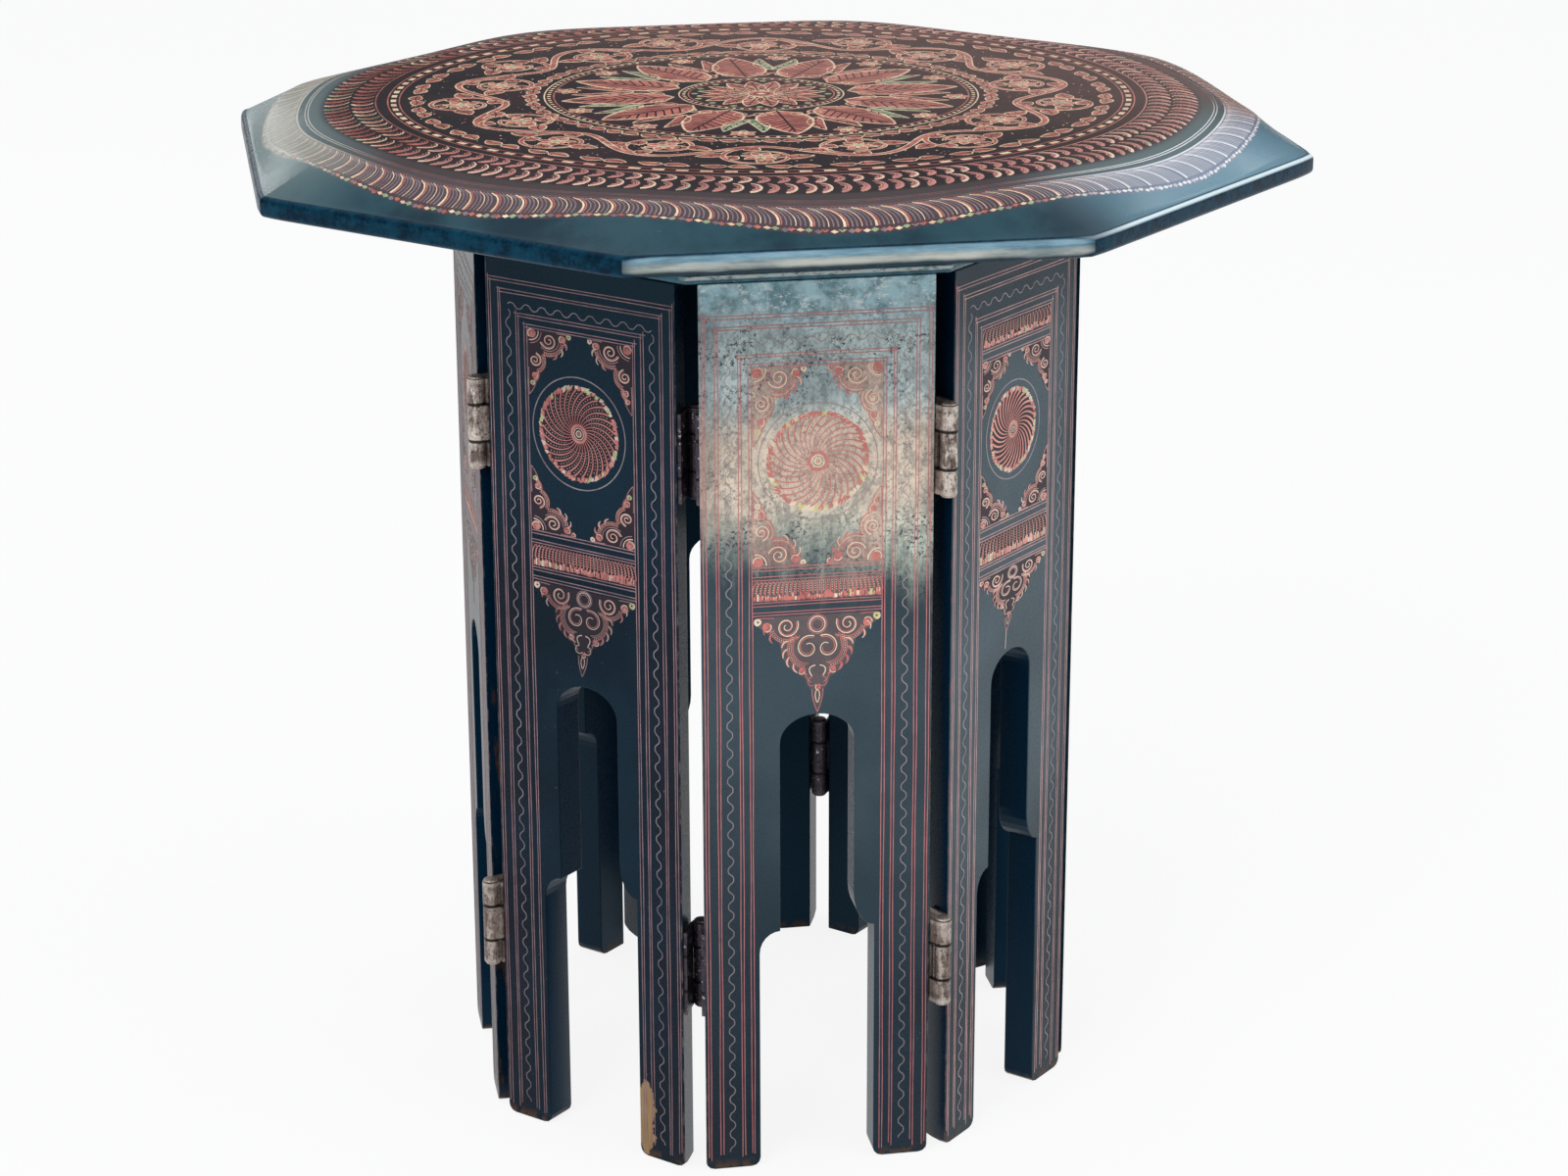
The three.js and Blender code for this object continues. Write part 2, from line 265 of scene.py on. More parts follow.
def glare_mask(s):
    """Where a pale glare is painted on the front panel, broken by dark grains."""
    ragged = (s.noise(7, 4, 0.6, (1, 1, 0.12)) - 0.5) * 60
    body = (s.z + ragged + s.x * 0.2).ramp(GLARE_FOOT, GLARE_FULL)
    body *= s.z.ramp(430, 462, 1, 0.9)
    body *= abs(s.x - GLARE_MIDDLE).ramp(50, 62, 1, 0.62)
    body *= s.noise(22, 5, 0.62).ramp(0.34, 0.6, 0.74, 1)
    body *= s.noise(3.2, 4, 0.75, (1, 1, 0.6)).ramp(0.4, 0.56, 0.6, 1)

    # the painted glare leaves it dark over and under the wheel
    for height, share in ((454, 0.3), (366, 0.25)):
        body *= 1 - s.spot(s.x, s.z, (0, height), (36, 19)) * share

    # dark grains, crowded together in patches above and below the wheel and at the sides
    grain = s.noise(2.1, 4, 0.75).ramp(0.4, 0.5, 1, 0)
    crowd = s.noise(15).ramp(0.46, 0.58, 0.3, 1) * abs(s.z - WHEEL_LEVEL).ramp(24, 40, 0.6, 1)
    return body * (1 - grain * crowd)


def lay_front_glare(s):
    """The painted glare, warm in its middle, and the painted sparkling reflection over it. Gives the
    glare's share.
    """
    glare = glare_mask(s)
    pale = s.mix(s.z.ramp(355, 395), GLARE_LOW, GLARE_WARM)
    pale = s.mix(s.z.ramp(420, 448), pale, GLARE_COOL)
    s.lay(glare * 0.95, pale)
    # painted sparkling reflection, with painted glints, in the strip at the top of the front panel
    strip_reflection = s.mix(s.noise(9, 4).ramp(0.34, 0.66), STRIP_REFLECTION_DARK, STRIP_REFLECTION_PALE)
    glint = s.noise(2.6, 5, 0.8, (0.7, 1, 1.3)).ramp(0.5, 0.6)
    strip_reflection = s.mix(glint * s.noise(16).ramp(0.38, 0.58, 0.3, 1), strip_reflection, STRIP_GLINT)
    patchy = (s.noise(20, 4) - 0.5) * 34
    s.lay((s.z + patchy).ramp(STRIP_REFLECTION_FOOT, STRIP_REFLECTION_FULL, 0, 0.85), strip_reflection)
    return glare


def panel_lacquer(index):
    """Dark lacquer on a panel: cloudy, rubbed at the edges, with wood showing in places."""
    name = SIDE_NAMES[index]
    s = Shading(f"{name}_lacquer", LACQUER_BLACK, 0.2 if name == "front" else 0.15, COOL_TINT)
    local = s.scaled(s.place, (1, 1, 1), -index * SECTOR)
    u, inward, h = s.split(local)
    depth = inward + APOTHEM
    off_middle = abs(u)
    cloud = s.noise(70, 4)
    streak = s.noise(9, 5, 0.6, (1, 1, 0.12), local)
    grain = s.noise(1.1, 3, 0.7)
    roughness = grain.ramp(0.3, 0.7, 0.24, 0.36)
    s.lay(cloud.ramp(0.35, 0.68), LACQUER_BLUE)
    s.lay(off_middle.ramp(26, 60) * streak.ramp(0.3, 0.75, 0.2, 0.8), LACQUER_PLUM)

    # pale pinholes
    s.lay(s.noise(1.7, 2, 0.5).ramp(0.735, 0.77, 0, 0.5), (120, 130, 132))

    # painted sheen: light reflected off the lacquer, painted into its colour
    if name in PAINTED_SHEENS:
        tone, low, high, at_foot = PAINTED_SHEENS[name]
        painted_sheen = cloud.ramp(0.3, 0.7, 0.7, 1) * h.ramp(low, high, at_foot, 1)
        if name == "front_right":
            painted_sheen *= u.ramp(44, 66, 1, 0.45) * h.ramp(440, 495, 1, 0.5)
        s.lay(painted_sheen, tone)
    # painted glare and painted sparkling reflection on the front; the lacquer is rougher under the
    # glare
    if name == "front":
        roughness += lay_front_glare(s) * 0.22

    # edges and inside: duller, and rubbed through to the wood low down
    off_face = depth.ramp(0.25, 0.9)
    s.lay(off_face, LACQUER_INSIDE)
    rub = s.noise(16, 5, 0.7, (1, 1, 0.25), local).ramp(0.54, 0.66) * h.ramp(120, 330, 1, 0.35)
    on_mitre = off_middle.ramp(PANEL_HALF_WIDTH - 9, PANEL_HALF_WIDTH - 7)
    before_back = depth.ramp(PANEL_THICKNESS - 1.5, PANEL_THICKNESS, 1, 0.1)
    bare_share = 0.15 if name == "front_right" else 0.85
    s.lay(rub * off_face * on_mitre * before_back * bare_share, DARK_WOOD)

    # the arrises are rubbed to a thin pale line, broken up, and the feet to the wood
    arris = off_middle.ramp(PANEL_HALF_WIDTH - 1.3, PANEL_HALF_WIDTH - 0.3)
    wear_and_reflection = s.noise(7, 5, 0.75, (1, 1, 0.4), local).ramp(0.48, 0.6) * depth.ramp(0, 1.2, 1, 0)
    s.lay(arris * wear_and_reflection * 0.6, (150, 96, 96) if name == "front_right" else (128, 118, 108))
    s.lay(h.ramp(1, 7, 1, 0) * s.noise(6, 4).ramp(0.42, 0.55) * 0.7, DARK_WOOD)

    # the large chip on one leg
    if name == "front_left":
        across = u + (s.noise(9, 4, 0.7) - 0.5) * 15
        chip = s.spot(across, h, (36.5, 24), (8, 30)).ramp(0.3, 0.42)
        fibre = s.noise(2, 3, 0.6, (1, 1, 0.1), local)
        s.lay(chip, s.mix(fibre, (130, 96, 62), BARE_WOOD))
        roughness += chip * 0.35
    return s.finish(roughness, streak * 0.6 + grain * 0.4, 0.14)


BEAD_CROWN = 511.6


def frame_lacquer():
    """The moulding: glossy black, bruised, with pale flecks that are partly rubbed lacquer and partly
    painted highlight.
    """
    s = Shading("frame_lacquer", (18, 50, 64), 0.7, COOL_TINT)
    bruise = s.noise(14, 5, 0.7)
    fleck = s.noise(4, 6, 0.8, (0.6, 1, 2))
    s.lay(bruise.ramp(0.35, 0.7), (36, 96, 112))
    # pale flecks: partly rubbed lacquer, partly painted highlight
    s.lay(fleck.ramp(0.6, 0.67, 0, 0.7), (150, 164, 160))

    # along the front a painted highlight runs along the bead's crown as a bright, broken line
    crown_highlight = s.y.ramp(-APOTHEM - 4, -APOTHEM + 2, 1, 0) * abs(s.z - BEAD_CROWN).ramp(0.5, 1.3, 1, 0)
    s.lay(crown_highlight * fleck.ramp(0.4, 0.5, 0.25, 1), (255, 253, 242))
    return s.finish(bruise.ramp(0.3, 0.7, 0.14, 0.28), s.noise(6, 5, 0.7), 0.5)


TOP_GROUND = (24, 12, 18)
SLOPE_SHADING = (72, 62, 64)
SLOPE_GLARE = (104, 122, 124)
FAR_GLOW = (216, 176, 164)

# Each painted glare's middle on the tabletop and its radii: a greenish one and a bluer one
LEFT_GLARE = ((-276, 24), (120, 196))
RIGHT_GLARE = ((206, -172), (150, 150))


def painted_glare(s, ellipse):
    """How much of a painted glare lies on the outer part of the tabletop."""
    return s.radius().ramp(238, 246) * s.spot(s.x, s.y, *ellipse)


def both_painted_glares(s):
    return s.math("ADD", painted_glare(s, LEFT_GLARE), painted_glare(s, RIGHT_GLARE), clamp=True) * 0.9


def far_glow(s):
    """A faint glow that grows towards the far right of the tabletop."""
    return (s.x + s.y * 0.8).ramp(-120, 240, 0, 0.26)


def field_lacquer():
    """The maroon ground inside the large scalloped band."""
    s = Shading("field_lacquer", TOP_GROUND, 0.2)
    cloud = s.noise(60, 5)
    grain = s.noise(2.2, 4, 0.7)
    s.lay(cloud.ramp(0.35, 0.7), (48, 28, 34))
    s.lay(grain.ramp(0.6, 0.75, 0, 0.35), (110, 70, 68))
    # painted shading on the slope, a painted glow to the far right, and painted glare on the outer
    # part
    s.lay(s.radius().ramp(240, 244) * 0.7, SLOPE_SHADING)
    s.lay(far_glow(s) * 0.6, FAR_GLOW)
    s.lay(both_painted_glares(s), SLOPE_GLARE)
    return s.finish(cloud.ramp(0.3, 0.7, 0.28, 0.4), grain, 0.08)


def rim_lacquer():
    """The teal-black bevel, with the ground of the large scalloped band."""
    s = Shading("rim_lacquer", (15, 42, 56), 0.26, (0.75, 0.95, 1.0, 1.0))
    cloud = s.noise(45, 5)
    left, right = painted_glare(s, LEFT_GLARE), painted_glare(s, RIGHT_GLARE)
    s.lay(cloud.ramp(0.36, 0.66), (38, 72, 84))
    # painted glare on the left and the right of the bevel
    s.lay(left * 0.75, (124, 146, 146))
    s.lay(right * 0.75, (124, 164, 184))

    # the band's ground with its painted glare, and the painted shading of the slope inside it
    ground = s.mix(cloud, (84, 68, 74), (70, 48, 54))
    ground = s.mix(left * 0.9, ground, (166, 170, 162))
    ground = s.mix(right * 0.95, ground, (132, 146, 168))
    radius = s.radius() + (s.noise(12) - 0.5) * 3
    s.lay(radius.ramp(BIG_BAND_OUTER - 0.8, BIG_BAND_OUTER + 0.8, 1, 0), ground)
    slope = s.radius().ramp(BIG_BAND_INNER - 0.6, BIG_BAND_INNER, 1, 0)
    s.lay(slope, s.mix(both_painted_glares(s), SLOPE_SHADING, SLOPE_GLARE))
    s.lay(s.noise(3, 5, 0.8).ramp(0.7, 0.74, 0, 0.5), (165, 190, 190))
    height = cloud * 0.8 + s.noise(1.6, 4, 0.7) * 0.2
    return s.finish(cloud.ramp(0.3, 0.7, 0.2, 0.32), height, 0.5)


def side_lacquer():
    """The upright side of the rim: navy and bruised, with a painted reflection along the front."""
    s = Shading("side_lacquer", (3, 28, 46), 0.1, (0.4, 0.82, 1.0, 1.0))
    bruise = s.noise(9, 5, 0.75)
    s.lay(bruise.ramp(0.36, 0.66), (12, 60, 82))
    s.lay(s.noise(2.2, 4, 0.8).ramp(0.68, 0.74, 0, 0.6), (120, 150, 165))

    # a painted highlight along the arris on the right
    arris = s.z.ramp(RIM_TOP - 2.4, RIM_TOP - 1) * s.z.ramp(RIM_TOP - 0.5, RIM_TOP, 1, 0)
    s.lay(arris * s.x.ramp(100, 150) * s.y.ramp(-60, -20, 1, 0), (226, 244, 252))

    # the front: a painted reflection, light blue above, then a pale streak, and dark below it
    sway = (s.noise(60, 3, 0.6, (1, 0, 0)) - 0.5) * 5
    drop = RIM_TOP - (s.z + sway)
    streaky = s.noise(20, 5, 0.7, (0.25, 1, 2)).ramp(0.35, 0.65)
    blue = s.mix(streaky, (84, 116, 132), (142, 176, 192))
    pale = s.mix(streaky, (112, 128, 132), (190, 192, 184))
    wear_and_reflection = s.mix(drop.ramp(3.2, 5.4), blue, pale)
    wear_and_reflection = s.mix(drop.ramp(6.8, 9.4), wear_and_reflection, (44, 58, 66))
    s.lay(s.y.ramp(-TOP_APOTHEM + 0.4, -TOP_APOTHEM + 1.6, 1, 0), wear_and_reflection)
    return s.finish(bruise.ramp(0.3, 0.7, 0.22, 0.36), bruise, 0.4)


def underside_lacquer():
    s = Shading("underside_lacquer", (22, 18, 18), 0.2)
    grain = s.noise(12, 5, 0.65, (0.12, 1, 1))
    s.lay(grain.ramp(0.35, 0.7), (58, 40, 32))
    return s.finish(0.6, grain, 0.3)


# The steels' bright and dull tones, and how far the dark one sparkles with painted glints. The inside
# steel is a darker copy: painted shade on the hinges inside the ring
STEELS = {
    "outside": ((226, 213, 203), (112, 97, 90), 0),
    "inside": ((112, 100, 106), (66, 60, 70), 0.9),
}
RUST = (44, 33, 30)
HINGE_HEIGHTS = (413, 118)
KNUCKLE_JOINT = 10.4
KNUCKLE_CROWN = (APOTHEM + 1.6) / cos(HALF_SECTOR) + 4.8


def hinge_metal(side):
    """Old steel, pitted, with rust in the hollows: pinkish outside, and a darker copy with painted
    shade inside the ring.
    """
    bright, dull, sparkle = STEELS[side]
    s = Shading(f"hinge_metal_{side}", bright, metallic=0.75)
    pits = s.noise(1.8, 4, 0.75)
    s.lay(s.noise(5, 5, 0.7, (1, 1, 0.45)).ramp(0.38, 0.6), dull)
    s.lay(s.z.ramp(160, 380, 0.45, 0), dull)

    # painted shade towards the leaves, leaving a painted highlight along the crown of the knuckles
    s.lay(s.radius().ramp(KNUCKLE_CROWN - 6, KNUCKLE_CROWN - 1.5, 0.7, 0), dull)
    s.lay(pits.ramp(0.53, 0.64, 0, 0.85), RUST)
    # painted glints, where the steel sparkles
    s.lay(s.noise(2.4, 3, 0.6).ramp(0.63, 0.69, 0, sparkle), (214, 208, 208))

    # painted highlights on the ends, and dark joints between the knuckles
    off_middle = s.math("MINIMUM", *[abs(s.z - height) for height in HINGE_HEIGHTS])
    s.lay(off_middle.ramp(21, 23.5, 0, 0.4), bright)
    s.lay(abs(off_middle - KNUCKLE_JOINT).ramp(0.5, 1.3, 0.92, 0), (18, 14, 13))
    return s.finish(pits.ramp(0.3, 0.7, 0.2, 0.5), pits, 0.45)


SALMON, CREAM, GREEN, MAUVE, DARK, ROSE = range(6)
PAINT_NAMES = ("salmon", "cream", "green", "mauve", "dark", "rose")

# Each paint's two tones, in the order of PAINT_NAMES, on each piece that has its own
PAINTS = {
    "panel": (
        ((206, 136, 128), (178, 108, 104)), ((230, 208, 192), (208, 178, 168)),
        ((196, 200, 150), (160, 168, 124)), ((156, 146, 152), (134, 118, 126)),
        ((34, 24, 38), (38, 26, 38)), ((176, 138, 142), (144, 114, 120)),
    ),
    # a lighter copy of the panel's paints, with the painted sheen on them
    "front_right": (
        ((250, 180, 166), (226, 150, 140)), ((255, 240, 226), (242, 214, 202)),
        ((226, 228, 184), (200, 206, 160)), ((188, 178, 182), (164, 152, 158)),
        ((62, 48, 54), (54, 46, 54)), ((234, 186, 180), (202, 160, 158)),
    ),
    # a lighter copy of the panel's paints, with the painted sheen and glare of the front
    "front": (
        ((222, 132, 124), (204, 114, 110)), ((252, 234, 206), (240, 214, 186)),
        ((228, 218, 154), (210, 204, 146)), ((166, 148, 150), (148, 134, 138)),
        ((108, 96, 98), (94, 86, 90)), ((214, 134, 132), (190, 116, 118)),
    ),
    "top": (
        ((206, 124, 110), (158, 88, 80)), ((252, 232, 196), (226, 182, 156)),
        ((168, 190, 148), (134, 156, 126)), ((148, 132, 136), (120, 102, 110)),
        ((28, 14, 20), (40, 20, 26)), ((128, 88, 90), (108, 74, 78)),
    ),
}
# How much of the front panel's painted glare lies over each paint
GLARE_COVER = (0.14, 0.2, 0.1, 0.3, 0.92, 0.14)


def across_panel(s):
    """How far to the right of its panel's middle a place is, on whichever panel it is."""
    angle = s.math("ARCTAN2", s.x, s.y * -1)
    off = angle - s.math("ROUND", angle / SECTOR) * SECTOR
    return s.radius() * s.math("SINE", off)


def panel_veils(s, paint):
    """Dimmer low on the legs and on the pendant."""
    s.lay(s.z.ramp(80, 300, 0.24, 0), LACQUER_BLACK)
    on_pendant = abs(across_panel(s)).ramp(26, 38, 1, 0)
    s.lay(s.z.ramp(318, 346, 0.3, 0) * on_pendant, LACQUER_BLACK)


def right_painted_shade(s, paint):
    # painted shade: the paints darken towards the right edge, where the painted sheen fades
    s.lay(across_panel(s).ramp(36, 58, 0, 0.24), LACQUER_BLACK)


def front_veils_and_glare(s, paint):
    s.lay(s.z.ramp(80, 300, 0.24, 0), LACQUER_BLACK)
    # painted glare over the paints
    s.lay(glare_mask(s) * GLARE_COVER[paint], GLARE_ON_PAINT)


def tabletop_painted_light(s, paint):
    # Painted light over the tabletop's paints: a glow to the far right, painted shade on the scallops
    # at the left, painted light on them near the front and at the right, and the painted glares.
    scallops = s.radius().ramp(206, 212) * s.radius().ramp(243, 247, 1, 0)
    light = s.math("MAXIMUM", s.y.ramp(-150, -90, 0.28, 0), s.x.ramp(60, 140, 0, 0.28))
    left, right = (0.5, 0.55) if paint == MAUVE else (0.86, 0.92)
    s.lay(far_glow(s), FAR_GLOW)
    s.lay(scallops * s.x.ramp(-230, -120, 0.2, 0), TOP_GROUND)
    s.lay(scallops * light, (240, 192, 186))
    s.lay(painted_glare(s, LEFT_GLARE) * left, (206, 206, 194))
    s.lay(painted_glare(s, RIGHT_GLARE) * right, (246, 248, 254))


def paint_set(prefix, lay_veils):
    """The paints rubbed into the incised lines: uneven, and broken where they are rubbed away."""
    made = []
    for paint, (first, second) in enumerate(PAINTS[prefix]):
        s = Shading(f"{prefix}_{PAINT_NAMES[paint]}", first, 0.25)
        grain = s.noise(0.9, 3, 0.7)
        s.lay(s.noise(9, 4).ramp(0.32, 0.66), second)
        s.lay(grain.ramp(0.58, 0.7, 0, 0.4), LACQUER_BLACK)
        lay_veils(s, paint)
        made.append(s.finish(grain.ramp(0.3, 0.7, 0.4, 0.55), grain, 0.06))
    return made


# Shapes, as lists of places

def steps_between(low, high, steps):
    return [low + (high - low) * i / steps for i in range(steps + 1)]


def around(centre, radius, angle):
    return (centre[0] + radius * cos(angle), centre[1] + radius * sin(angle))


def polar(radius, angle):
    """A place on the tabletop. The angle starts at the front and runs counter-clockwise."""
    return (radius * sin(angle), -radius * cos(angle))


def turns_at(radius, steps):
    """A full turn as pairs of the radius and an angle."""
    return [(radius, tau * i / steps) for i in range(steps)]


def circle(centre, radius, steps):
    return [around(centre, *turn) for turn in turns_at(radius, steps)]


def arc(centre, radius, start, end, steps):
    return [around(centre, radius, angle) for angle in steps_between(start, end, steps)]


def spiral(centre, outer, inner, start, turns, steps):
    """From the outside in. Negative turns run clockwise."""
    return [
        around(centre, outer + (inner - outer) * share ** 0.8, start + tau * turns * share)
        for share in steps_between(0.0, 1.0, steps)
    ]


def curve(start, middle, end, steps):
    """A quadratic curve that leaves start towards middle and comes from it to end."""
    return [
        tuple(
            (1 - t) ** 2 * a + 2 * t * (1 - t) * b + t ** 2 * c
            for a, b, c in zip(start, middle, end)
        )
        for t in steps_between(0.0, 1.0, steps)
    ]


def beside(start, end):
    """Makes places of the way along a line and the way off it to the left."""
    length = dist(start, end)
    along_x, along_y = (end[0] - start[0]) / length, (end[1] - start[1]) / length
    return lambda run, off: (
        start[0] + along_x * run - along_y * off,
        start[1] + along_y * run + along_x * off,
    )


def turned(angle, across, out, height):
    """A place across a side and out from the table's middle, for the side at this angle."""
    return (
        (across * cos(angle) + out * sin(angle)) * MM,
        (across * sin(angle) - out * cos(angle)) * MM,
        height * MM,
    )


def leaf_width(full):
    return lambda share: 0.08 + full * sin(pi * share ** 0.75) ** 0.8


def taper(start, end):
    return lambda share: start + (end - start) * share


# Relief: low closed shapes laid on a surface

GROUND_LIFT = 0.02
FILL_LIFT = 0.04
LINE_LIFT = 0.07
DOT_LIFT = 0.10
SINK = 0.06
NUDGE = 0.0012
LINE_WIDTH = 0.5
WAVE_WIDTH = 0.55
FINE_WIDTH = 0.46


def add_mesh(name, points, faces, paints, materials):
    """paints gives each face's material by its number."""
    mesh = bpy.data.meshes.new(name)
    mesh.from_pydata(points, [], faces)
    for material in materials:
        mesh.materials.append(material)
    mesh.polygons.foreach_set("material_index", paints)
    mesh.update()
    return new_object(name, mesh)


class Relief:
    """Collects low closed shapes on a surface. surface(x, y, lift) gives a place.

    A surface is flipped where its x, y and lift form a left-handed set. rng makes the
    uneven touches of the hand. Shapes are drawn through at(x, y).
    """

    def __init__(self, surface, rng, flipped=False):
        self.surface = surface
        self.rng = rng
        self.flipped = flipped
        self.at = lambda x, y: (x, y)
        self.points = []
        self.faces = []
        self.paints = []
        self.numbers = counter(1)

    def through(self, at):
        """The same relief, drawn through another at, which mirrors, shifts or stretches."""
        pen = copy(self)
        pen.at = at
        return pen

    def nudged(self, lift):
        """Shapes that cross at one lift are kept a hair apart."""
        return lift + NUDGE * (next(self.numbers) % 8)

    def add_face(self, corners, paint):
        self.faces.append(corners)
        self.paints.append(paint)

    def patch(self, outline, paint, lift=FILL_LIFT, sink=SINK):
        """A flat shape with the given outline."""
        self.slab([self.at(x, y) for x, y in outline], paint, lift, sink)

    def slab(self, outline, paint, lift, sink=SINK):
        doubled_area = sum(
            a[0] * b[1] - b[0] * a[1] for a, b in zip(outline, outline[1:] + outline[:1]))
        if (doubled_area < 0) != self.flipped:
            outline = outline[::-1]
        start, count = len(self.points), len(outline)
        for level in (-sink, self.nudged(lift)):
            self.points += [self.surface(x, y, level) for x, y in outline]
        self.add_face([start + i for i in reversed(range(count))], paint)
        self.add_face([start + count + i for i in range(count)], paint)
        for i in range(count):
            j = (i + 1) % count
            self.add_face([start + i, start + j, start + count + j, start + count + i], paint)

    def dot(self, centre, radius, paint, lift=DOT_LIFT, corners=6):
        self.slab(circle(self.at(*centre), radius, corners), paint, lift)

    def stroke(self, path, width, paint, lift=LINE_LIFT, closed=False):
        """A band along a path. The width is a number or a function of the share 0 to 1."""
        path = [self.at(x, y) for x, y in path]
        start, count = len(self.points), len(path)
        lift = self.nudged(lift)
        for i, (x, y) in enumerate(path):
            if closed:
                before, after = path[i - 1], path[(i + 1) % count]
            else:
                before, after = path[max(i - 1, 0)], path[min(i + 1, count - 1)]
            along_x, along_y = after[0] - before[0], after[1] - before[1]
            half = (width(i / (count - 1)) if callable(width) else width) / 2
            half /= hypot(along_x, along_y) or 1.0
            for side, level in ((half, -SINK), (-half, -SINK), (-half, lift), (half, lift)):
                self.points.append(self.surface(x - side * along_y, y + side * along_x, level))
        for i in range(count if closed else count - 1):
            here, there = start + 4 * i, start + 4 * ((i + 1) % count)
            for j in range(4):
                k = (j + 1) % 4
                self.add_face([here + j, there + j, there + k, here + k], paint)
        if not closed:
            last = start + 4 * (count - 1)
            self.add_face([start, start + 1, start + 2, start + 3], paint)
            self.add_face([last + 3, last + 2, last + 1, last], paint)

    def fine(self, path, paint=ROSE):
        self.stroke(path, FINE_WIDTH, paint)

    def ring(self, centre, radius, width, paint, steps, lift=LINE_LIFT):
        self.stroke(circle(centre, radius, steps), width, paint, lift, closed=True)

    def turn(self, radius, width, paint, steps, lift=LINE_LIFT):
        """A full turn, where at takes a radius and an angle."""
        self.stroke(turns_at(radius, steps), width, paint, lift, closed=True)

    def ring_line(self, radius, width, paint, steps=160):
        """A line round the whole tabletop."""
        self.through(polar).turn(radius, width, paint, steps)

    def ruled(self, start, end, sway):
        """A ruled line drawn by hand: it sways a little from side to side."""
        place, length = beside(start, end), dist(start, end)
        slow, quick = [self.rng.uniform(0, tau) for _ in range(2)]
        self.stroke([
            place(run, sway * (sin(run / 31 + slow) + 0.6 * sin(run / 13 + quick)))
            for run in steps_between(0.0, length, max(2, round(length / 16)))
        ], LINE_WIDTH, ROSE)

    def wave(self, start, end):
        place, length = beside(start, end), dist(start, end)
        phase = self.rng.uniform(0, tau)
        path = []
        for run in steps_between(0.0, length, round(length / WAVE_PERIOD * 8)):
            angle = tau * (run + 0.5 * sin(run / 23 + phase)) / WAVE_PERIOD
            path.append(place(run, WAVE_REACH * (sin(angle) + 0.12 * sin(3 * angle))))
        self.stroke(path, WAVE_WIDTH, MAUVE)

    def leaf(self, base, tip, width, fill=SALMON, bend=0.0, veins=0, steps=8):
        """A pointed leaf with a pale outline, a midrib and side veins."""
        place, length = beside(base, tip), dist(base, tip)
        full = leaf_width(width)

        def at(share, across):
            return place(length * share, bend * sin(pi * share) + across)

        shares = steps_between(0.0, 1.0, steps)
        self.stroke([at(share, 0.0) for share in shares], full, fill, FILL_LIFT)
        line_width = 0.42 + 0.03 * width
        for sign in (-1, 1):
            self.stroke([at(share, sign * full(share) / 2) for share in shares], line_width, CREAM)
        if veins:
            self.stroke([at(share, 0.0) for share in shares[:-1]], line_width, DARK)
            for share in steps_between(0.15, 0.77, max(veins - 1, 1))[:veins]:
                for sign in (-1, 1):
                    reach = min(share + 0.14, 0.97)
                    end = at(reach, sign * full(reach) * 0.42)
                    self.stroke([at(share, 0.0), end], line_width * 0.8, DARK)

    def blossom(self, centre, size, petals):
        turn = self.rng.uniform(0, pi)
        for i in range(petals):
            angle = turn + tau * i / petals
            base, tip = around(centre, 0.12 * size, angle), around(centre, size, angle)
            self.leaf(base, tip, 3.6 * size / petals, steps=6)
        self.dot(centre, 0.24 * size, GREEN, DOT_LIFT, 10)
        self.ring(centre, 0.24 * size, 0.5, CREAM, 12, DOT_LIFT)

    def scroll(self, centre, radius, start, turns, eye=0.14):
        """A stem that winds inward to its eye: a pale line with a rosy one inside it."""
        outer = spiral(centre, radius, eye * radius, start, turns, 34)
        self.stroke(outer, taper(0.62, 0.5), CREAM)
        self.fine(spiral(centre, radius - 1.0, 0.3 * radius, start, 0.72 * turns, 24), SALMON)

    def lobe(self, centre, radius, start, end, gap=1.9):
        """Two lines round a scroll with a row of beads between them."""
        steps = max(4, round(abs(end - start) * 7))
        self.stroke(arc(centre, radius, start, end, steps), LINE_WIDTH, SALMON)
        self.fine(arc(centre, radius - gap, start, end, steps), SALMON)
        beads = max(3, round(abs(end - start) * radius / 1.5))
        for bead in arc(centre, radius - gap / 2, start + 0.12, end - 0.12, beads):
            self.dot(bead, 0.34, CREAM, corners=4)

    def scales(self, centre, radius, start, end, count):
        """Overlapping petals along the outside of a lobe."""
        for angle in steps_between(start, end, count - 1):
            base = around(centre, radius, angle - 0.1)
            bulge = around(centre, radius + 3.4, angle)
            path = curve(base, bulge, around(centre, radius + 3.2, angle + 0.24), 5)
            self.stroke(path, leaf_width(self.rng.uniform(0.9, 1.5)), ROSE, FILL_LIFT)
            self.fine(path, self.rng.choice((CREAM, SALMON)))

    def berry(self, centre, radius):
        """A small salmon flower head: a disc with a dark curl and a pale edge on one side."""
        self.patch(circle(centre, radius, 12), SALMON)
        turn = self.rng.uniform(0, tau)
        self.stroke(arc(centre, radius * 0.5, turn, turn + 3.6, 5), 0.34, DARK)
        self.fine(arc(centre, radius, turn, turn + 2.4, 5), CREAM)

    def bud(self, centre, radius):
        """A yellow, green or salmon bud with a dark eye and a pale edge."""
        paint = self.rng.choices((GREEN, CREAM, SALMON), (0.3, 0.35, 0.35))[0]
        self.patch(circle(centre, radius, 10), paint, LINE_LIFT)
        self.patch(circle(centre, radius * 0.34, 6), DARK, DOT_LIFT)
        self.fine(arc(centre, radius + 0.1, -1.0, 1.6, 5), CREAM)

    def piece(self, name, body, slot, materials):
        obj = add_mesh(name, self.points, self.faces, self.paints, materials)
        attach(obj, body)


# Panel ornament

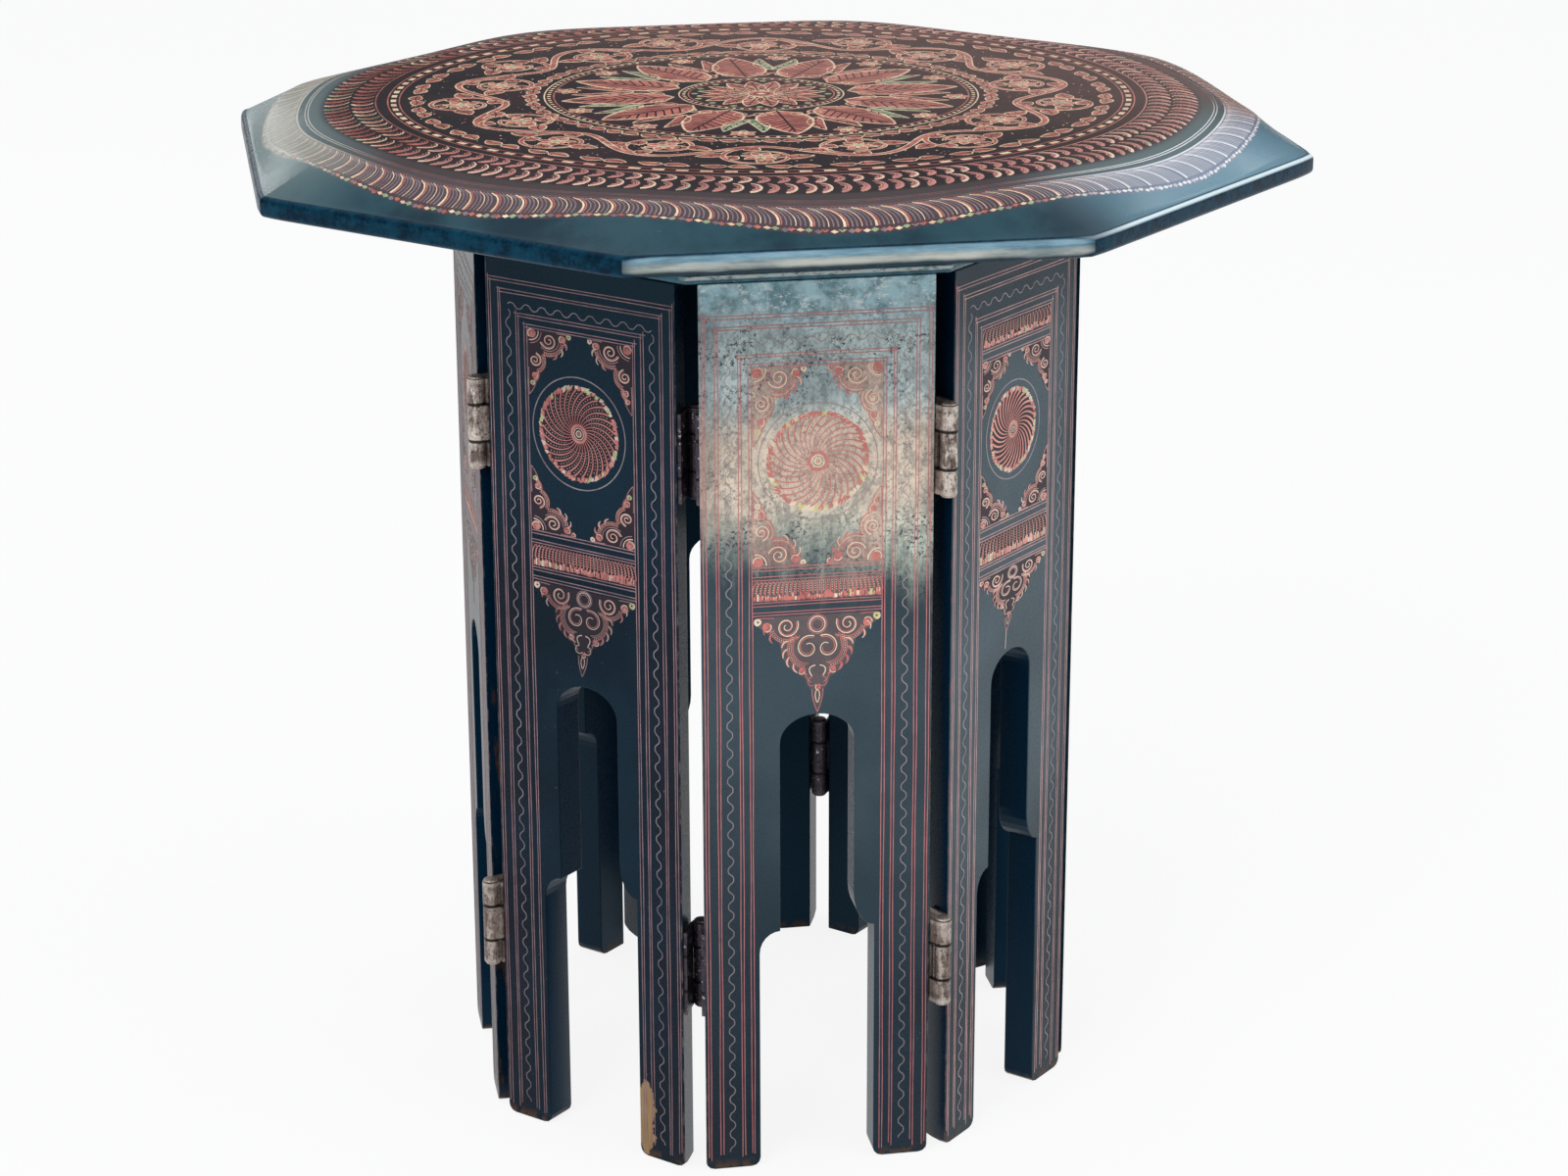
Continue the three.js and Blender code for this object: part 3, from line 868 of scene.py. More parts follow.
# Each border line's distance from the side edges and from the top edge
BORDER_LINES = (
    (1.8, 17.4), (3.4, 19.2), (8.5, 23.3), (10.1, 25.0),
    (20.7, 38.5), (22.3, 40.1), (26.2, 43.7), (27.8, 45.4),
)
LINE_FOOT = 7.0
WAVE_INSET = 15.2
WAVE_DROP = 31.6
WAVE_PERIOD = 10.6
WAVE_REACH = 1.7
FIELD_HALF_WIDTH = PANEL_HALF_WIDTH - BORDER_LINES[-1][0]
FIELD_HIGH = PANEL_HEIGHT - BORDER_LINES[-1][1]
RULE_NEAR = 1.6
RULE_FAR = 6.9
RULE_HALF_PAIR = 0.85


@dataclass
class Layout:
    """Where a panel's ornament lies. Each panel was set out by hand, so they differ.

    lift and inner_lift raise the four outer and the four inner border lines at the top,
    scale is the size of the wheel, and rise how tall the corners are.
    """

    medallion: tuple
    band: tuple
    tip: tuple
    lift: float = 0.0
    inner_lift: float = 0.0
    scale: float = 1.0
    rise: float = 1.0
    top_band: tuple = None
    stem_foot: float = None


LAYOUTS = {
    "front": Layout((0.3, 410.0), (333.4, 344.8), (0.0, 269.4)),
    "front_left": Layout((-1.4, 416.8), (337.4, 349.8), (-2.6, 279.0), 4.8, 8.0, 0.97, 0.87),
    "front_right": Layout(
        (-2.4, 407.6), (337.4, 350.6), (-5.8, 292.5), 7.7, 7.7, 0.86, 0.72, (459.0, 469.6), 282.0),
    "back_left": Layout(
        (1.2, 405.5), (335.4, 348.0), (1.8, 289.0), 7.2, 7.2, 0.88, 0.76, (458.4, 469.0), 281.5),
}


def layout_of(name, rng):
    """The places seen in the photograph, or others like them on the hidden panels."""
    if name in LAYOUTS:
        return LAYOUTS[name]
    low = rng.uniform(334.0, 337.5)
    medallion = (rng.uniform(-1.2, 1.2), rng.uniform(409.0, 414.0))
    tip = (rng.uniform(-2.0, 2.0), rng.uniform(283.0, 286.0))
    lift = rng.uniform(0.0, 5.0)
    inner_lift = lift + rng.uniform(0.0, 3.0)
    return Layout(medallion, (low, low + 12.0), tip, lift, inner_lift, 0.97, rng.uniform(0.82, 0.92))


def panel_surface(index):
    """Places u, h and lift on the outer face of a panel."""
    return lambda u, h, lift: turned(index * SECTOR, u, APOTHEM + lift, h)


def draw_borders(relief, layout):
    rng = relief.rng
    for (inset, drop), lift in zip(BORDER_LINES, [layout.lift] * 4 + [layout.inner_lift] * 4):
        reach = PANEL_HALF_WIDTH - inset
        level = PANEL_HEIGHT - drop + lift
        overshoot = rng.uniform(0.4, 1.6)
        relief.ruled((-reach - overshoot, level), (reach + overshoot, level), 0.12)
        for side in (-1, 1):
            foot = LINE_FOOT + rng.uniform(-3.0, 2.0)
            top = level + rng.uniform(0.4, 2.2)
            relief.ruled((side * reach, foot), (side * reach, top), 0.14)
    reach = PANEL_HALF_WIDTH - WAVE_INSET
    level = PANEL_HEIGHT - WAVE_DROP + layout.lift
    for side in (-1, 1):
        relief.wave((side * reach, level - 2.5), (side * reach, LINE_FOOT + 3.0))
    relief.wave((-reach, level), (reach, level))


# The wheel
MEDALLION_RING = 32.0
MEDALLION_RADIUS = 28.0
MEDALLION_INNER = 24.4
MEDALLION_EYE = 3.9
SPOKES = 30
SPOKE_SWEEP = radians(-58)
BEAD_RADII = steps_between(11.0, 23.0, 8)
RIM_PATCHES = 64


def draw_medallion(relief, centre, scale, beaded):
    """A wheel of swept spokes with beads between them, in a ring of coloured patches."""
    def at(radius, angle):
        swept = angle + SPOKE_SWEEP * (radius / MEDALLION_RADIUS) ** 1.2
        return around(centre, scale * radius, swept)

    pen = relief.through(at)
    pen.turn(MEDALLION_RING, 0.62, MAUVE, 64)
    pen.patch(turns_at(MEDALLION_RADIUS - 0.6, 48), DARK, GROUND_LIFT)
    for angle in steps_between(0.0, tau, SPOKES)[:-1]:
        spoke = [(radius, angle) for radius in steps_between(MEDALLION_EYE, MEDALLION_INNER + 0.6, 9)]
        pen.stroke(spoke, taper(0.25, 0.85 / scale ** 3), SALMON)
        for radius in BEAD_RADII if beaded else ():
            bead = (radius, angle + pi / SPOKES + pen.rng.uniform(-0.01, 0.01))
            pen.dot(bead, scale * (0.14 + 0.009 * radius), CREAM, corners=4)
    pen.turn(MEDALLION_EYE + 0.9, 1.5, SALMON, 20, FILL_LIFT)
    draw_patch_ring(pen)
    pen.patch(turns_at(MEDALLION_EYE, 20), DARK, LINE_LIFT)
    for ring in ((3.3, 0.45, CREAM), (1.7, 0.55, CREAM), (0.7, 0.4, SALMON)):
        pen.turn(*ring, 16, DOT_LIFT)


def draw_patch_ring(pen):
    """Short fat dabs side by side, mostly salmon, with pale ones in a few clusters."""
    rng = pen.rng
    step = tau / RIM_PATCHES
    pale_side = rng.uniform(0, tau)
    for i in range(RIM_PATCHES):
        angle = step * (i + rng.uniform(-0.2, 0.2))
        near_pale = cos(angle - pale_side) > 0.35
        weights = (0.45, 0.3, 0.25) if near_pale else (0.78, 0.12, 0.1)
        paint = rng.choices((SALMON, CREAM, GREEN), weights)[0]
        low = MEDALLION_INNER + rng.uniform(-0.5, 0.9)
        high = MEDALLION_RADIUS + rng.uniform(-0.9, 0.2)
        middle = ((low + high) / 2, angle + 0.3 * step)
        path = [(low, angle), middle, (high, angle + 0.2 * step)]
        pen.stroke(path, leaf_width(rng.uniform(2.2, 3.2)), paint, FILL_LIFT)
        if rng.random() < 0.4:
            pen.stroke([middle, (high, angle + 0.3 * step)], 0.4, CREAM, DOT_LIFT)


# One corner, measured from the field's corner: x along the level side, y along the upright
CORNER_GROUND = (
    (0.3, 0.3), (29.4, 0.3), (30.4, 1.8), (28.4, 5.6), (24.8, 8.6), (23.2, 12.8), (18.6, 16.8),
    (12.8, 18.4), (12.6, 22.8), (11.0, 27.0), (8.6, 31.0), (6.8, 35.4), (4.8, 39.4), (0.3, 43.6),
)


def draw_corner(relief, corner, right, up, rise):
    """A scrolled corner that grows out of the field's corner. right and up are 1 or -1."""
    reach = right * relief.rng.uniform(0.94, 1.0)
    rise *= up * relief.rng.uniform(0.94, 1.0)
    pen = relief.through(lambda x, y: (corner[0] + x * reach, corner[1] + y * rise))
    pen.patch(CORNER_GROUND, DARK, GROUND_LIFT)
    pen.berry((3.4, 3.3), 2.9)
    pen.stroke(arc((2.0, 1.8), 6.0, -0.1, 1.65, 8), 0.62, CREAM)
    pen.fine(arc((1.6, 1.4), 8.4, 0.02, 1.5, 8))

    # the scroll along the level side, its lobe, and the tip beyond it
    pen.scroll((15.0, 6.6), 6.0, radians(165), -1.75)
    pen.lobe((14.6, 5.8), 10.8, 0.1, 1.95)
    pen.fine(arc((14.6, 5.8), 7.4, 0.0, 2.3, 12))
    pen.scales((14.6, 5.0), 10.4, 0.2, 1.1, 3)
    pen.berry((24.4, 4.2), 2.3)
    pen.bud((28.6, 2.0), 1.5)
    pen.fine(curve((20.4, 0.9), (25.0, 0.6), (30.0, 1.0), 6))

    # the scroll along the upright side, its lobe, and the leaf that ends it
    pen.scroll((5.3, 20.6), 4.9, radians(-80), 1.7)
    pen.lobe((3.8, 20.4), 8.8, -0.55, 1.2)
    pen.berry((5.0, 30.6), 2.0)
    pen.lobe((1.6, 29.6), 6.2, -0.35, 1.1, 1.5)
    pen.bud((3.2, 35.6), 1.5)
    pen.fine(curve((5.6, 33.6), (5.4, 38.6), (0.8, 43.8), 8))
    pen.fine(curve((0.9, 25.8), (0.4, 34.0), (0.8, 43.8), 6))


def draw_band(relief, low, high, pitch, rule_above=True):
    """The band of fingers on its dark ground, between pairs of rules."""
    half = FIELD_HALF_WIDTH - 0.3
    relief.patch([(-half, low), (half, low), (half, high), (-half, high)], DARK, GROUND_LIFT)
    draw_fingers(relief, low, high, pitch)
    for gap in (RULE_NEAR, RULE_FAR):
        for level in (low - gap, high + gap) if rule_above else (low - gap,):
            for height in (level - RULE_HALF_PAIR, level + RULE_HALF_PAIR):
                relief.ruled((-FIELD_HALF_WIDTH, height), (FIELD_HALF_WIDTH, height), 0.1)


def draw_fingers(relief, low, high, pitch):
    """Leaning fingers with beads between them, over a fringe of colour."""
    rng = relief.rng
    fringe = low + 0.3 * (high - low)
    half = FIELD_HALF_WIDTH - 1.0
    for u in steps_between(-half, half, round(2 * FIELD_HALF_WIDTH / pitch)):
        lean = 2.8 * u / FIELD_HALF_WIDTH
        head, bend = (u - 0.8 * lean, high - 0.2), (u + 0.4 * lean, high - 1.6)
        relief.stroke(curve(head, bend, (u + 0.4 * lean, fringe), 5), taper(0.45, 0.75), SALMON)
        for share in (0.14, 0.3, 0.46, 0.62, 0.78):
            bead_u = u + pitch / 2 + lean * (0.9 * share ** 0.7 - 0.6)
            if abs(bead_u) < FIELD_HALF_WIDTH - 0.8:
                relief.dot((bead_u, high + (fringe - high) * share), 0.32, CREAM, corners=4)
    half = FIELD_HALF_WIDTH - 1.4
    for u in steps_between(-half, half, round(2 * FIELD_HALF_WIDTH / 1.5) - 1):
        paint = rng.choices((SALMON, CREAM, GREEN), (0.76, 0.18, 0.06))[0]
        top = (u, fringe + rng.uniform(-1.2, 1.4))
        middle = (u + rng.uniform(-0.5, 0.5), (top[1] + low) / 2)
        bottom = (u, low + rng.uniform(0.1, 0.9))
        relief.stroke([top, middle, bottom], rng.uniform(1.0, 1.7), paint, FILL_LIFT)
        if rng.random() < 0.3:
            relief.stroke([top, middle], 0.36, CREAM, DOT_LIFT)


# Half of the pendant, measured from the middle of its top: x outwards, y downwards
PENDANT_GROUND = [
    (0.0, 0.3), (33.0, 0.3), (34.2, 1.8), (32.0, 5.2), (28.2, 8.4), (25.4, 10.6), (20.8, 13.6),
    (20.0, 17.6), (19.2, 22.6), (16.0, 27.4), (10.8, 31.8), (6.8, 34.6), (5.4, 38.4), (3.0, 41.6),
    (2.8, 45.0), (0.0, 52.0),
]
PENDANT_LENGTH = 53.0


def draw_pendant_half(pen):
    """Everything on one side of the pendant's middle."""
    # the upper scroll, the lobe under it, and the berry and bud of the wing
    pen.scroll((16.6, 5.9), 6.6, radians(205), -1.75)
    pen.lobe((16.6, 5.0), 9.6, 0.25, 2.35)
    pen.scales((17.4, 3.6), 9.6, 0.25, 0.75, 2)
    pen.berry((27.4, 5.6), 2.5)
    pen.bud((32.2, 2.6), 1.9)
    pen.fine(curve((23.6, 1.0), (28.0, 0.5), (33.0, 0.9), 6))

    # half of the heart, the beaded lobe round it, and the petals outside that
    heart = (5.0, 18.0)
    pen.scroll(heart, 7.2, radians(-118), 1.15, 0.3)
    pen.lobe(heart, 11.2, -0.75, 1.45)
    pen.fine(arc(heart, 8.4, -1.0, 1.6, 14))
    pen.scales(heart, 11.2, -0.3, 1.3, 5)

    # the commas and drops under the heart
    pen.stroke(curve((1.2, 27.6), (6.6, 28.4), (3.0, 33.4), 7), 0.6, CREAM)
    pen.fine(curve((6.4, 29.4), (7.4, 33.6), (3.4, 37.0), 7))
    pen.berry((8.6, 30.4), 1.7)
    pen.stroke(arc((2.7, 36.4), 2.5, -1.6, 2.6, 8), 0.42, pen.rng.choice((CREAM, ROSE)))
    pen.stroke(curve((3.0, 40.6), (3.4, 45.0), (0.1, PENDANT_LENGTH), 8), 0.5, ROSE)
    pen.fine(curve((0.2, 41.0), (2.2, 43.2), (0.2, 48.0), 6), CREAM)


def draw_pendant(relief, high, tip):
    """A scroll with two wings that hangs from the band and ends in a long point."""
    stretch = (high - tip[1]) / PENDANT_LENGTH

    def pen_on(side):
        return relief.through(lambda x, y: (
            side * x + tip[0] * (y / PENDANT_LENGTH) ** 1.5, high - y * stretch))

    left, right = pen_on(-1), pen_on(1)
    mirrored = [(-x, y) for x, y in PENDANT_GROUND[-2:0:-1]]
    right.patch(PENDANT_GROUND + mirrored, DARK, GROUND_LIFT)
    draw_pendant_half(left)
    draw_pendant_half(right)
    for radius, width, paint in ((5.2, FINE_WIDTH, ROSE), (4.2, 0.6, CREAM), (3.0, FINE_WIDTH, ROSE)):
        right.ring((0.0, 5.4), radius, width, paint, 20)
    right.berry((0.4, 39.6), 1.5)


def draw_panel(index):
    """All of a panel's ornament. A small wheel has no beads, and its bands wider fingers."""
    relief = Relief(panel_surface(index), random.Random(100 + index))
    layout = layout_of(SIDE_NAMES[index], relief.rng)
    large = layout.scale > 0.9
    pitch = 2.35 if large else 3.5
    low, high = layout.band
    field_high = FIELD_HIGH + layout.inner_lift
    draw_borders(relief, layout)
    if layout.top_band:
        field_high = layout.top_band[0] - RULE_FAR
        draw_band(relief, *layout.top_band, pitch, rule_above=False)
    draw_medallion(relief, layout.medallion, layout.scale, large)
    for right in (-1, 1):
        edge = -right * FIELD_HALF_WIDTH
        draw_corner(relief, (edge, field_high), right, -1, layout.rise)
        draw_corner(relief, (edge, high + RULE_FAR + RULE_HALF_PAIR), right, 1, layout.rise)
    draw_band(relief, low, high, pitch)
    draw_pendant(relief, low - RULE_FAR - 1.6, layout.tip)
    if layout.stem_foot:
        relief.fine([layout.tip, (layout.tip[0] - 0.8, layout.stem_foot)], CREAM)
    return relief


# Tabletop

FIELD, RIM, UNDERSIDE, SIDE = range(4)
FIRST_SIDE_RING = 2
LAST_SIDE_RING = 13
SIDE_SHARES = [0.0, 0.08, 0.17, 0.27, 0.38, 0.5, 0.62, 0.73, 0.82, 0.89, 0.94, 0.97, 0.99, 1.0]


def rim_radius(apothem, angle):
    """Distance to the octagon, a little less at its corners, which are rounded."""
    off = (angle + HALF_SECTOR) % SECTOR - HALF_SECTOR
    sharpness = max(0.0, abs(off) / HALF_SECTOR - 0.86) / 0.14
    return apothem / cos(off) - RIM_CORNER_ROUNDING * sharpness ** 2


def top_level(radius, angle):
    """Height of the tabletop's face, which falls further at the sides than at the corners."""
    if radius <= FLAT_RADIUS:
        return FIELD_TOP
    towards_corner = (1 - cos(SIDES * angle)) / 2
    drop = SIDE_DROP + (CORNER_DROP - SIDE_DROP) * towards_corner
    if radius <= FIELD_RADIUS:
        share = (radius - FLAT_RADIUS) / (FIELD_RADIUS - FLAT_RADIUS)
        return FIELD_TOP - drop * share ** FIELD_CURVE_POWER
    outer = rim_radius(TOP_APOTHEM - RIM_EDGE_RADIUS, angle)
    share = min(1.0, (radius - FIELD_RADIUS) / (outer - FIELD_RADIUS))
    return FIELD_TOP - drop + (RIM_TOP - FIELD_TOP + drop) * share


def top_surface(x, y, lift):
    return (x * MM, y * MM, (top_level(hypot(x, y), atan2(x, -y)) + lift) * MM)


def top_section(angle):
    """Radii and levels from the middle of the underside round to the middle of the face."""
    edge = RIM_EDGE_RADIUS
    outer = TOP_APOTHEM - edge
    section = [(rim_radius(apothem, angle), TOP_UNDERSIDE) for apothem in (150.0, 240.0)]
    quarter = steps_between(0.0, pi / 2, 5)
    section += [
        (rim_radius(outer + edge * sin(turn), angle), TOP_UNDERSIDE + edge * (1 - cos(turn)))
        for turn in quarter
    ]
    section += [
        (rim_radius(outer + edge * cos(turn), angle), RIM_TOP - edge * (1 - sin(turn)))
        for turn in quarter
    ]
    radii = steps_between(rim_radius(outer, angle), FIELD_RADIUS, 5)[1:-1]
    radii += steps_between(FIELD_RADIUS, FLAT_RADIUS, 15) + [190.0, 150.0, 100.0, 50.0]
    return section + [(radius, top_level(radius, angle)) for radius in radii]


def top_face_paint(ring, corner):
    if ring < LAST_SIDE_RING:
        return UNDERSIDE if ring < FIRST_SIDE_RING else SIDE
    return FIELD if hypot(corner[0], corner[1]) < 250 * MM else RIM


def add_tabletop(materials):
    """The board, with its directions closer together at the corners."""
    angles = []
    for side in range(SIDES):
        angles += [(side - share / 2) * SECTOR for share in SIDE_SHARES[:0:-1]]
        angles += [(side + share / 2) * SECTOR for share in SIDE_SHARES[:-1]]
    rings = list(zip(*[top_section(angle) for angle in angles]))
    count = len(angles)
    points = [(0.0, 0.0, TOP_UNDERSIDE * MM)]
    for ring in rings:
        for angle, (radius, level) in zip(angles, ring):
            x, y = polar(radius, angle)
            points.append((x * MM, y * MM, level * MM))
    points.append((0.0, 0.0, FIELD_TOP * MM))
    last = len(points) - 1
    faces = []
    paints = []
    for i in range(count):
        j = (i + 1) % count
        faces += [[0, 1 + j, 1 + i], [last, last - count + i, last - count + j]]
        paints += [UNDERSIDE, FIELD]
        for ring in range(len(rings) - 1):
            low, high = 1 + ring * count, 1 + (ring + 1) * count
            faces.append([low + i, low + j, high + j, high + i])
            paints.append(top_face_paint(ring, points[high + i]))
    board = add_mesh("tabletop_board", points, faces, paints, materials)
    board.data.polygons.foreach_set("use_smooth", [True] * len(faces))
    board.data.update()
    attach(board, "top")
    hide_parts("tabletop")


def draw_scallops(relief, inner, outer, count):
    """Overlapping crescents that open along the band, each with finer ones inside it."""
    middle, half = (inner + outer) / 2, (outer - inner) / 2
    reach = pi * middle / count
    for i in range(count):
        angle = tau * (i + relief.rng.uniform(-0.08, 0.08)) / count
        bright = relief.rng.choices((CREAM, SALMON, GREEN), (0.42, 0.5, 0.08))[0]
        for size, width, paint, lift in (
            (1.0, 1.4, bright, LINE_LIFT),
            (0.72, 0.8, SALMON, FILL_LIFT),
            (0.42, 1.0, SALMON, FILL_LIFT),
        ):
            path = []
            for turn in steps_between(-1.45, 1.45, 7):
                run = reach * (1.45 * cos(turn) - 0.5) * size
                path.append(polar(middle + half * 0.92 * size * sin(turn), angle + run / middle))
            relief.stroke(path, taper(0.5 * width, 1.3 * width), paint, lift)


def sickle(angle, swing):
    """One stroke across the large band: a claw that turns to the right and stays there."""
    path = []
    for share in steps_between(0.0, 1.0, 7):
        radius = BIG_BAND_INNER + 1.0 + (BIG_BAND_OUTER - BIG_BAND_INNER - 2.4) * share
        path.append(polar(radius, angle + 1.25 * swing * sin(0.62 * pi * share ** 0.7)))
    return path


CLAWS = 104
CLAW_STEP = tau / CLAWS
FINE_CLAWS = (SALMON, MAUVE, MAUVE, CREAM, MAUVE, MAUVE)
HEM = ((0.0, SALMON, 1.9), (0.28, CREAM, 1.5), (0.52, GREEN, 1.9), (0.8, MAUVE, 1.9))


def draw_big_band(relief):
    """Claws round the bevel: a broad pale one, then fine ones, and a coloured hem."""
    swing = 0.5 * CLAW_STEP
    for i in range(CLAWS):
        angle = CLAW_STEP * (i + relief.rng.uniform(-0.05, 0.05))
        relief.stroke(sickle(angle, swing), taper(0.6, 1.5), CREAM)
        for j, paint in enumerate(FINE_CLAWS):
            claw = sickle(angle + CLAW_STEP * (j + 1) / (len(FINE_CLAWS) + 1), 0.92 * swing)
            relief.stroke(claw, 0.5 if paint == CREAM else 0.75, paint, FILL_LIFT)
        for share, paint, size in HEM:
            radius = BIG_BAND_OUTER - 1.2 + relief.rng.uniform(-0.3, 0.5)
            hem = [polar(radius, angle + CLAW_STEP * (share + off)) for off in (-0.12, 0, 0.12)]
            relief.stroke(hem, leaf_width(size), paint)


def draw_bead_ring(relief, radius, count, bead):
    relief.ring_line(radius - 2.6, 0.8, SALMON, 96)
    relief.ring_line(radius + 2.6, 0.8, CREAM, 96)
    for place in turns_at(radius, count):
        relief.dot(polar(*place), bead, CREAM)


def draw_rosette(relief):
    for i in range(16):
        angle = tau * i / 16
        relief.leaf(polar(8.0, angle), polar(36.0, angle), 11.5, veins=4)
    for i in range(16):
        relief.dot(polar(37.0, tau * (i + 0.5) / 16), 2.0, GREEN, corners=8)
    middle = (0.0, 0.0)
    relief.patch(circle(middle, 7.5, 24), SALMON)
    relief.ring(middle, 7.5, 0.9, CREAM, 24)
    relief.ring(middle, 4.0, 0.9, DARK, 16)
    relief.dot(middle, 2.0, CREAM, corners=10)


LOTUS_RING = (49.0, 111.0)
LOTUS_COUNT = 12
VINE_RADIUS = 157.0
VINE_SWING = 15.0
VINE_BAYS = 18
VINE_ZONE = (124.0, 196.0)


def draw_lotus_ring(relief):
    inner, outer = LOTUS_RING
    for i in range(LOTUS_COUNT):
        angle = tau * i / LOTUS_COUNT
        between = angle + pi / LOTUS_COUNT
        relief.leaf(polar(inner, angle), polar(outer, angle), 30.0, veins=8, steps=12)
        for side in (-1, 1):
            base, tip = polar(inner + 22, between), polar(outer - 6, between + side * 0.1)
            relief.leaf(base, tip, 9.0, GREEN if i % 2 else SALMON, side * 3.0, 4)
            curl = polar(inner + 10, between + side * 0.09)
            path = spiral(curl, 6.0, 1.0, between, side * 1.4, 14)
            relief.stroke(path, taper(1.6, 0.8), SALMON)
            path = spiral(curl, 6.8, 1.6, between, side * 1.4, 14)
            relief.stroke(path, 0.5, CREAM, DOT_LIFT)
        relief.blossom(polar(outer - 3, between), 7.5, 6)


def draw_vine_ring(relief):
    """A waving stem with a scroll, a blossom and leaves in each of its bays."""
    stem = [
        polar(radius + VINE_SWING * sin(VINE_BAYS / 2 * angle), angle)
        for radius, angle in turns_at(VINE_RADIUS, 16 * VINE_BAYS)
    ]
    relief.stroke(stem, 4.4, CREAM, FILL_LIFT, closed=True)
    relief.stroke(stem, 2.8, SALMON, LINE_LIFT, closed=True)
    for bay in range(VINE_BAYS):
        outward = -1 if bay % 2 == 0 else 1
        centre = polar(VINE_RADIUS + outward * 9.0, tau * (bay + 0.5) / VINE_BAYS)
        turns = outward * 1.15
        start = atan2(centre[1], centre[0]) + (0.0 if outward < 0 else pi)
        path = spiral(centre, 23.0, 11.0, start, turns, 26)
        relief.stroke(path, taper(3.8, 2.2), CREAM, FILL_LIFT)
        relief.stroke(path, taper(2.4, 1.0), SALMON)
        relief.blossom(centre, 10.5, 7)
        for i in range(7):
            share = 0.06 + 0.11 * i
            angle = start + tau * turns * share
            root = around(centre, 23.0 - 14.0 * share ** 0.8, angle)
            tip = around(root, 16.0 if i % 2 else -10.0, angle + outward * 0.7)
            if VINE_ZONE[0] < hypot(*tip) < VINE_ZONE[1]:
                relief.leaf(root, tip, 9.5, GREEN if i % 4 == 3 else SALMON, outward * 1.2, 3, 6)


def draw_filler(relief):
    """Small leaves and dots in what is left of the ground."""
    rng = relief.rng
    count = 2 * VINE_BAYS
    for i in range(count):
        angle = tau * (i + 0.5) / count
        for radius, reach in ((127.5, 11.0), (190.5, 14.0)):
            for side in (-1, 1):
                tip = polar(radius + side * 1.5, angle + side * reach / radius)
                relief.leaf(polar(radius, angle), tip, 7.5, SALMON, 1.2, 2, 5)
        for _ in range(24):
            place = polar(rng.uniform(124.0, 195.0), angle + rng.uniform(-0.09, 0.09))
            relief.dot(place, rng.uniform(0.4, 0.8), rng.choice((CREAM, SALMON)), GROUND_LIFT, 4)


TICK_RING = (199.7, 206.0)
TICKS = 102


def draw_ticks(relief):
    inner, outer = TICK_RING
    middle = (inner + outer) / 2
    relief.ring_line(inner, 0.7, SALMON)
    relief.ring_line(outer, 0.8, SALMON)
    for radius, angle in turns_at(middle, TICKS):
        path = [polar(radius, angle + run / radius) for run in (-3.2, 0.0, 3.2)]
        relief.stroke(path, 3.0, CREAM)


def draw_tabletop():
    relief = Relief(top_surface, random.Random(7))
    draw_rosette(relief)
    draw_bead_ring(relief, 43.0, 60, 1.1)
    draw_lotus_ring(relief)
    draw_bead_ring(relief, 117.5, 130, 1.2)
    draw_vine_ring(relief)
    draw_filler(relief)
    draw_ticks(relief)
    relief.ring_line(212.6, 0.7, SALMON)
    draw_scallops(relief, 213.4, 226.0, 146)
    draw_scallops(relief, 226.6, 241.0, 166)
    for radius, width, steps in ((249.6, 0.6, 200), (251.2, 0.6, 200), (BIG_BAND_INNER, 1.0, 240)):
        relief.ring_line(radius, width, ROSE, steps)
    draw_big_band(relief)
    return relief


# Hinge screws

LEAF_FACE = 4.0
SCREW_RADIUS = 2.6
SCREW_RISE = 0.5
SLOT_HALF_WIDTH = 0.4
SCREW_SEATS = ((9.2, 17.0), (14.0, 0.0), (9.2, -17.0))


def leaf_surface(seam, height, pin_radius, along_sign, side):
    """Places y along the leaf from the pin, z up it, and lift off its open face."""
    angle = (seam - 0.5) * SECTOR
    return lambda y, z, lift: turned(
        angle, side * (LEAF_FACE - lift), pin_radius - along_sign * y, height + z)


def draw_screws(relief):
    """Three slotted screw heads on a leaf: two halves of a disc with the slot between."""
    half_angle = asin(SLOT_HALF_WIDTH / SCREW_RADIUS)
    for seat in SCREW_SEATS:
        turn = relief.rng.uniform(0, pi)
        relief.patch(circle(seat, SCREW_RADIUS, 20), 0, 0.15, 0.1)
        for start in (turn, turn + pi):
            ends = (start + half_angle, start + pi - half_angle)
            relief.patch(arc(seat, SCREW_RADIUS * 0.96, *ends, 10), 0, SCREW_RISE, 0.1)


def hinge_side(name):
    """Outside on odd seams, inside on even ones."""
    return "outside" if int(name.split("_")[1]) % 2 else "inside"


def add_screws(metals):
    for seam in range(1, SIDES + 1):
        along_sign = 1 if seam % 2 else -1
        for level in ("upper", "lower"):
            hinge = f"seam_{seam}_{level}_hinge"
            low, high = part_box(f"{hinge}_pin")
            x, y, height = [(a + b) / 2 / MM for a, b in zip(low, high)]
            for leaf, side, panel in (("fork", -1, seam - 1), ("tongue", 1, seam % SIDES)):
                surface = leaf_surface(seam, height, hypot(x, y), along_sign, side)
                relief = Relief(surface, random.Random(f"{hinge}_{leaf}"), side * along_sign > 0)
                draw_screws(relief)
                metal = metals[hinge_side(hinge)]
                relief.piece(f"{hinge}_{leaf}_screws", SIDE_NAMES[panel], "hinge_metal", [metal])


# Dressing of the carried-over nodes

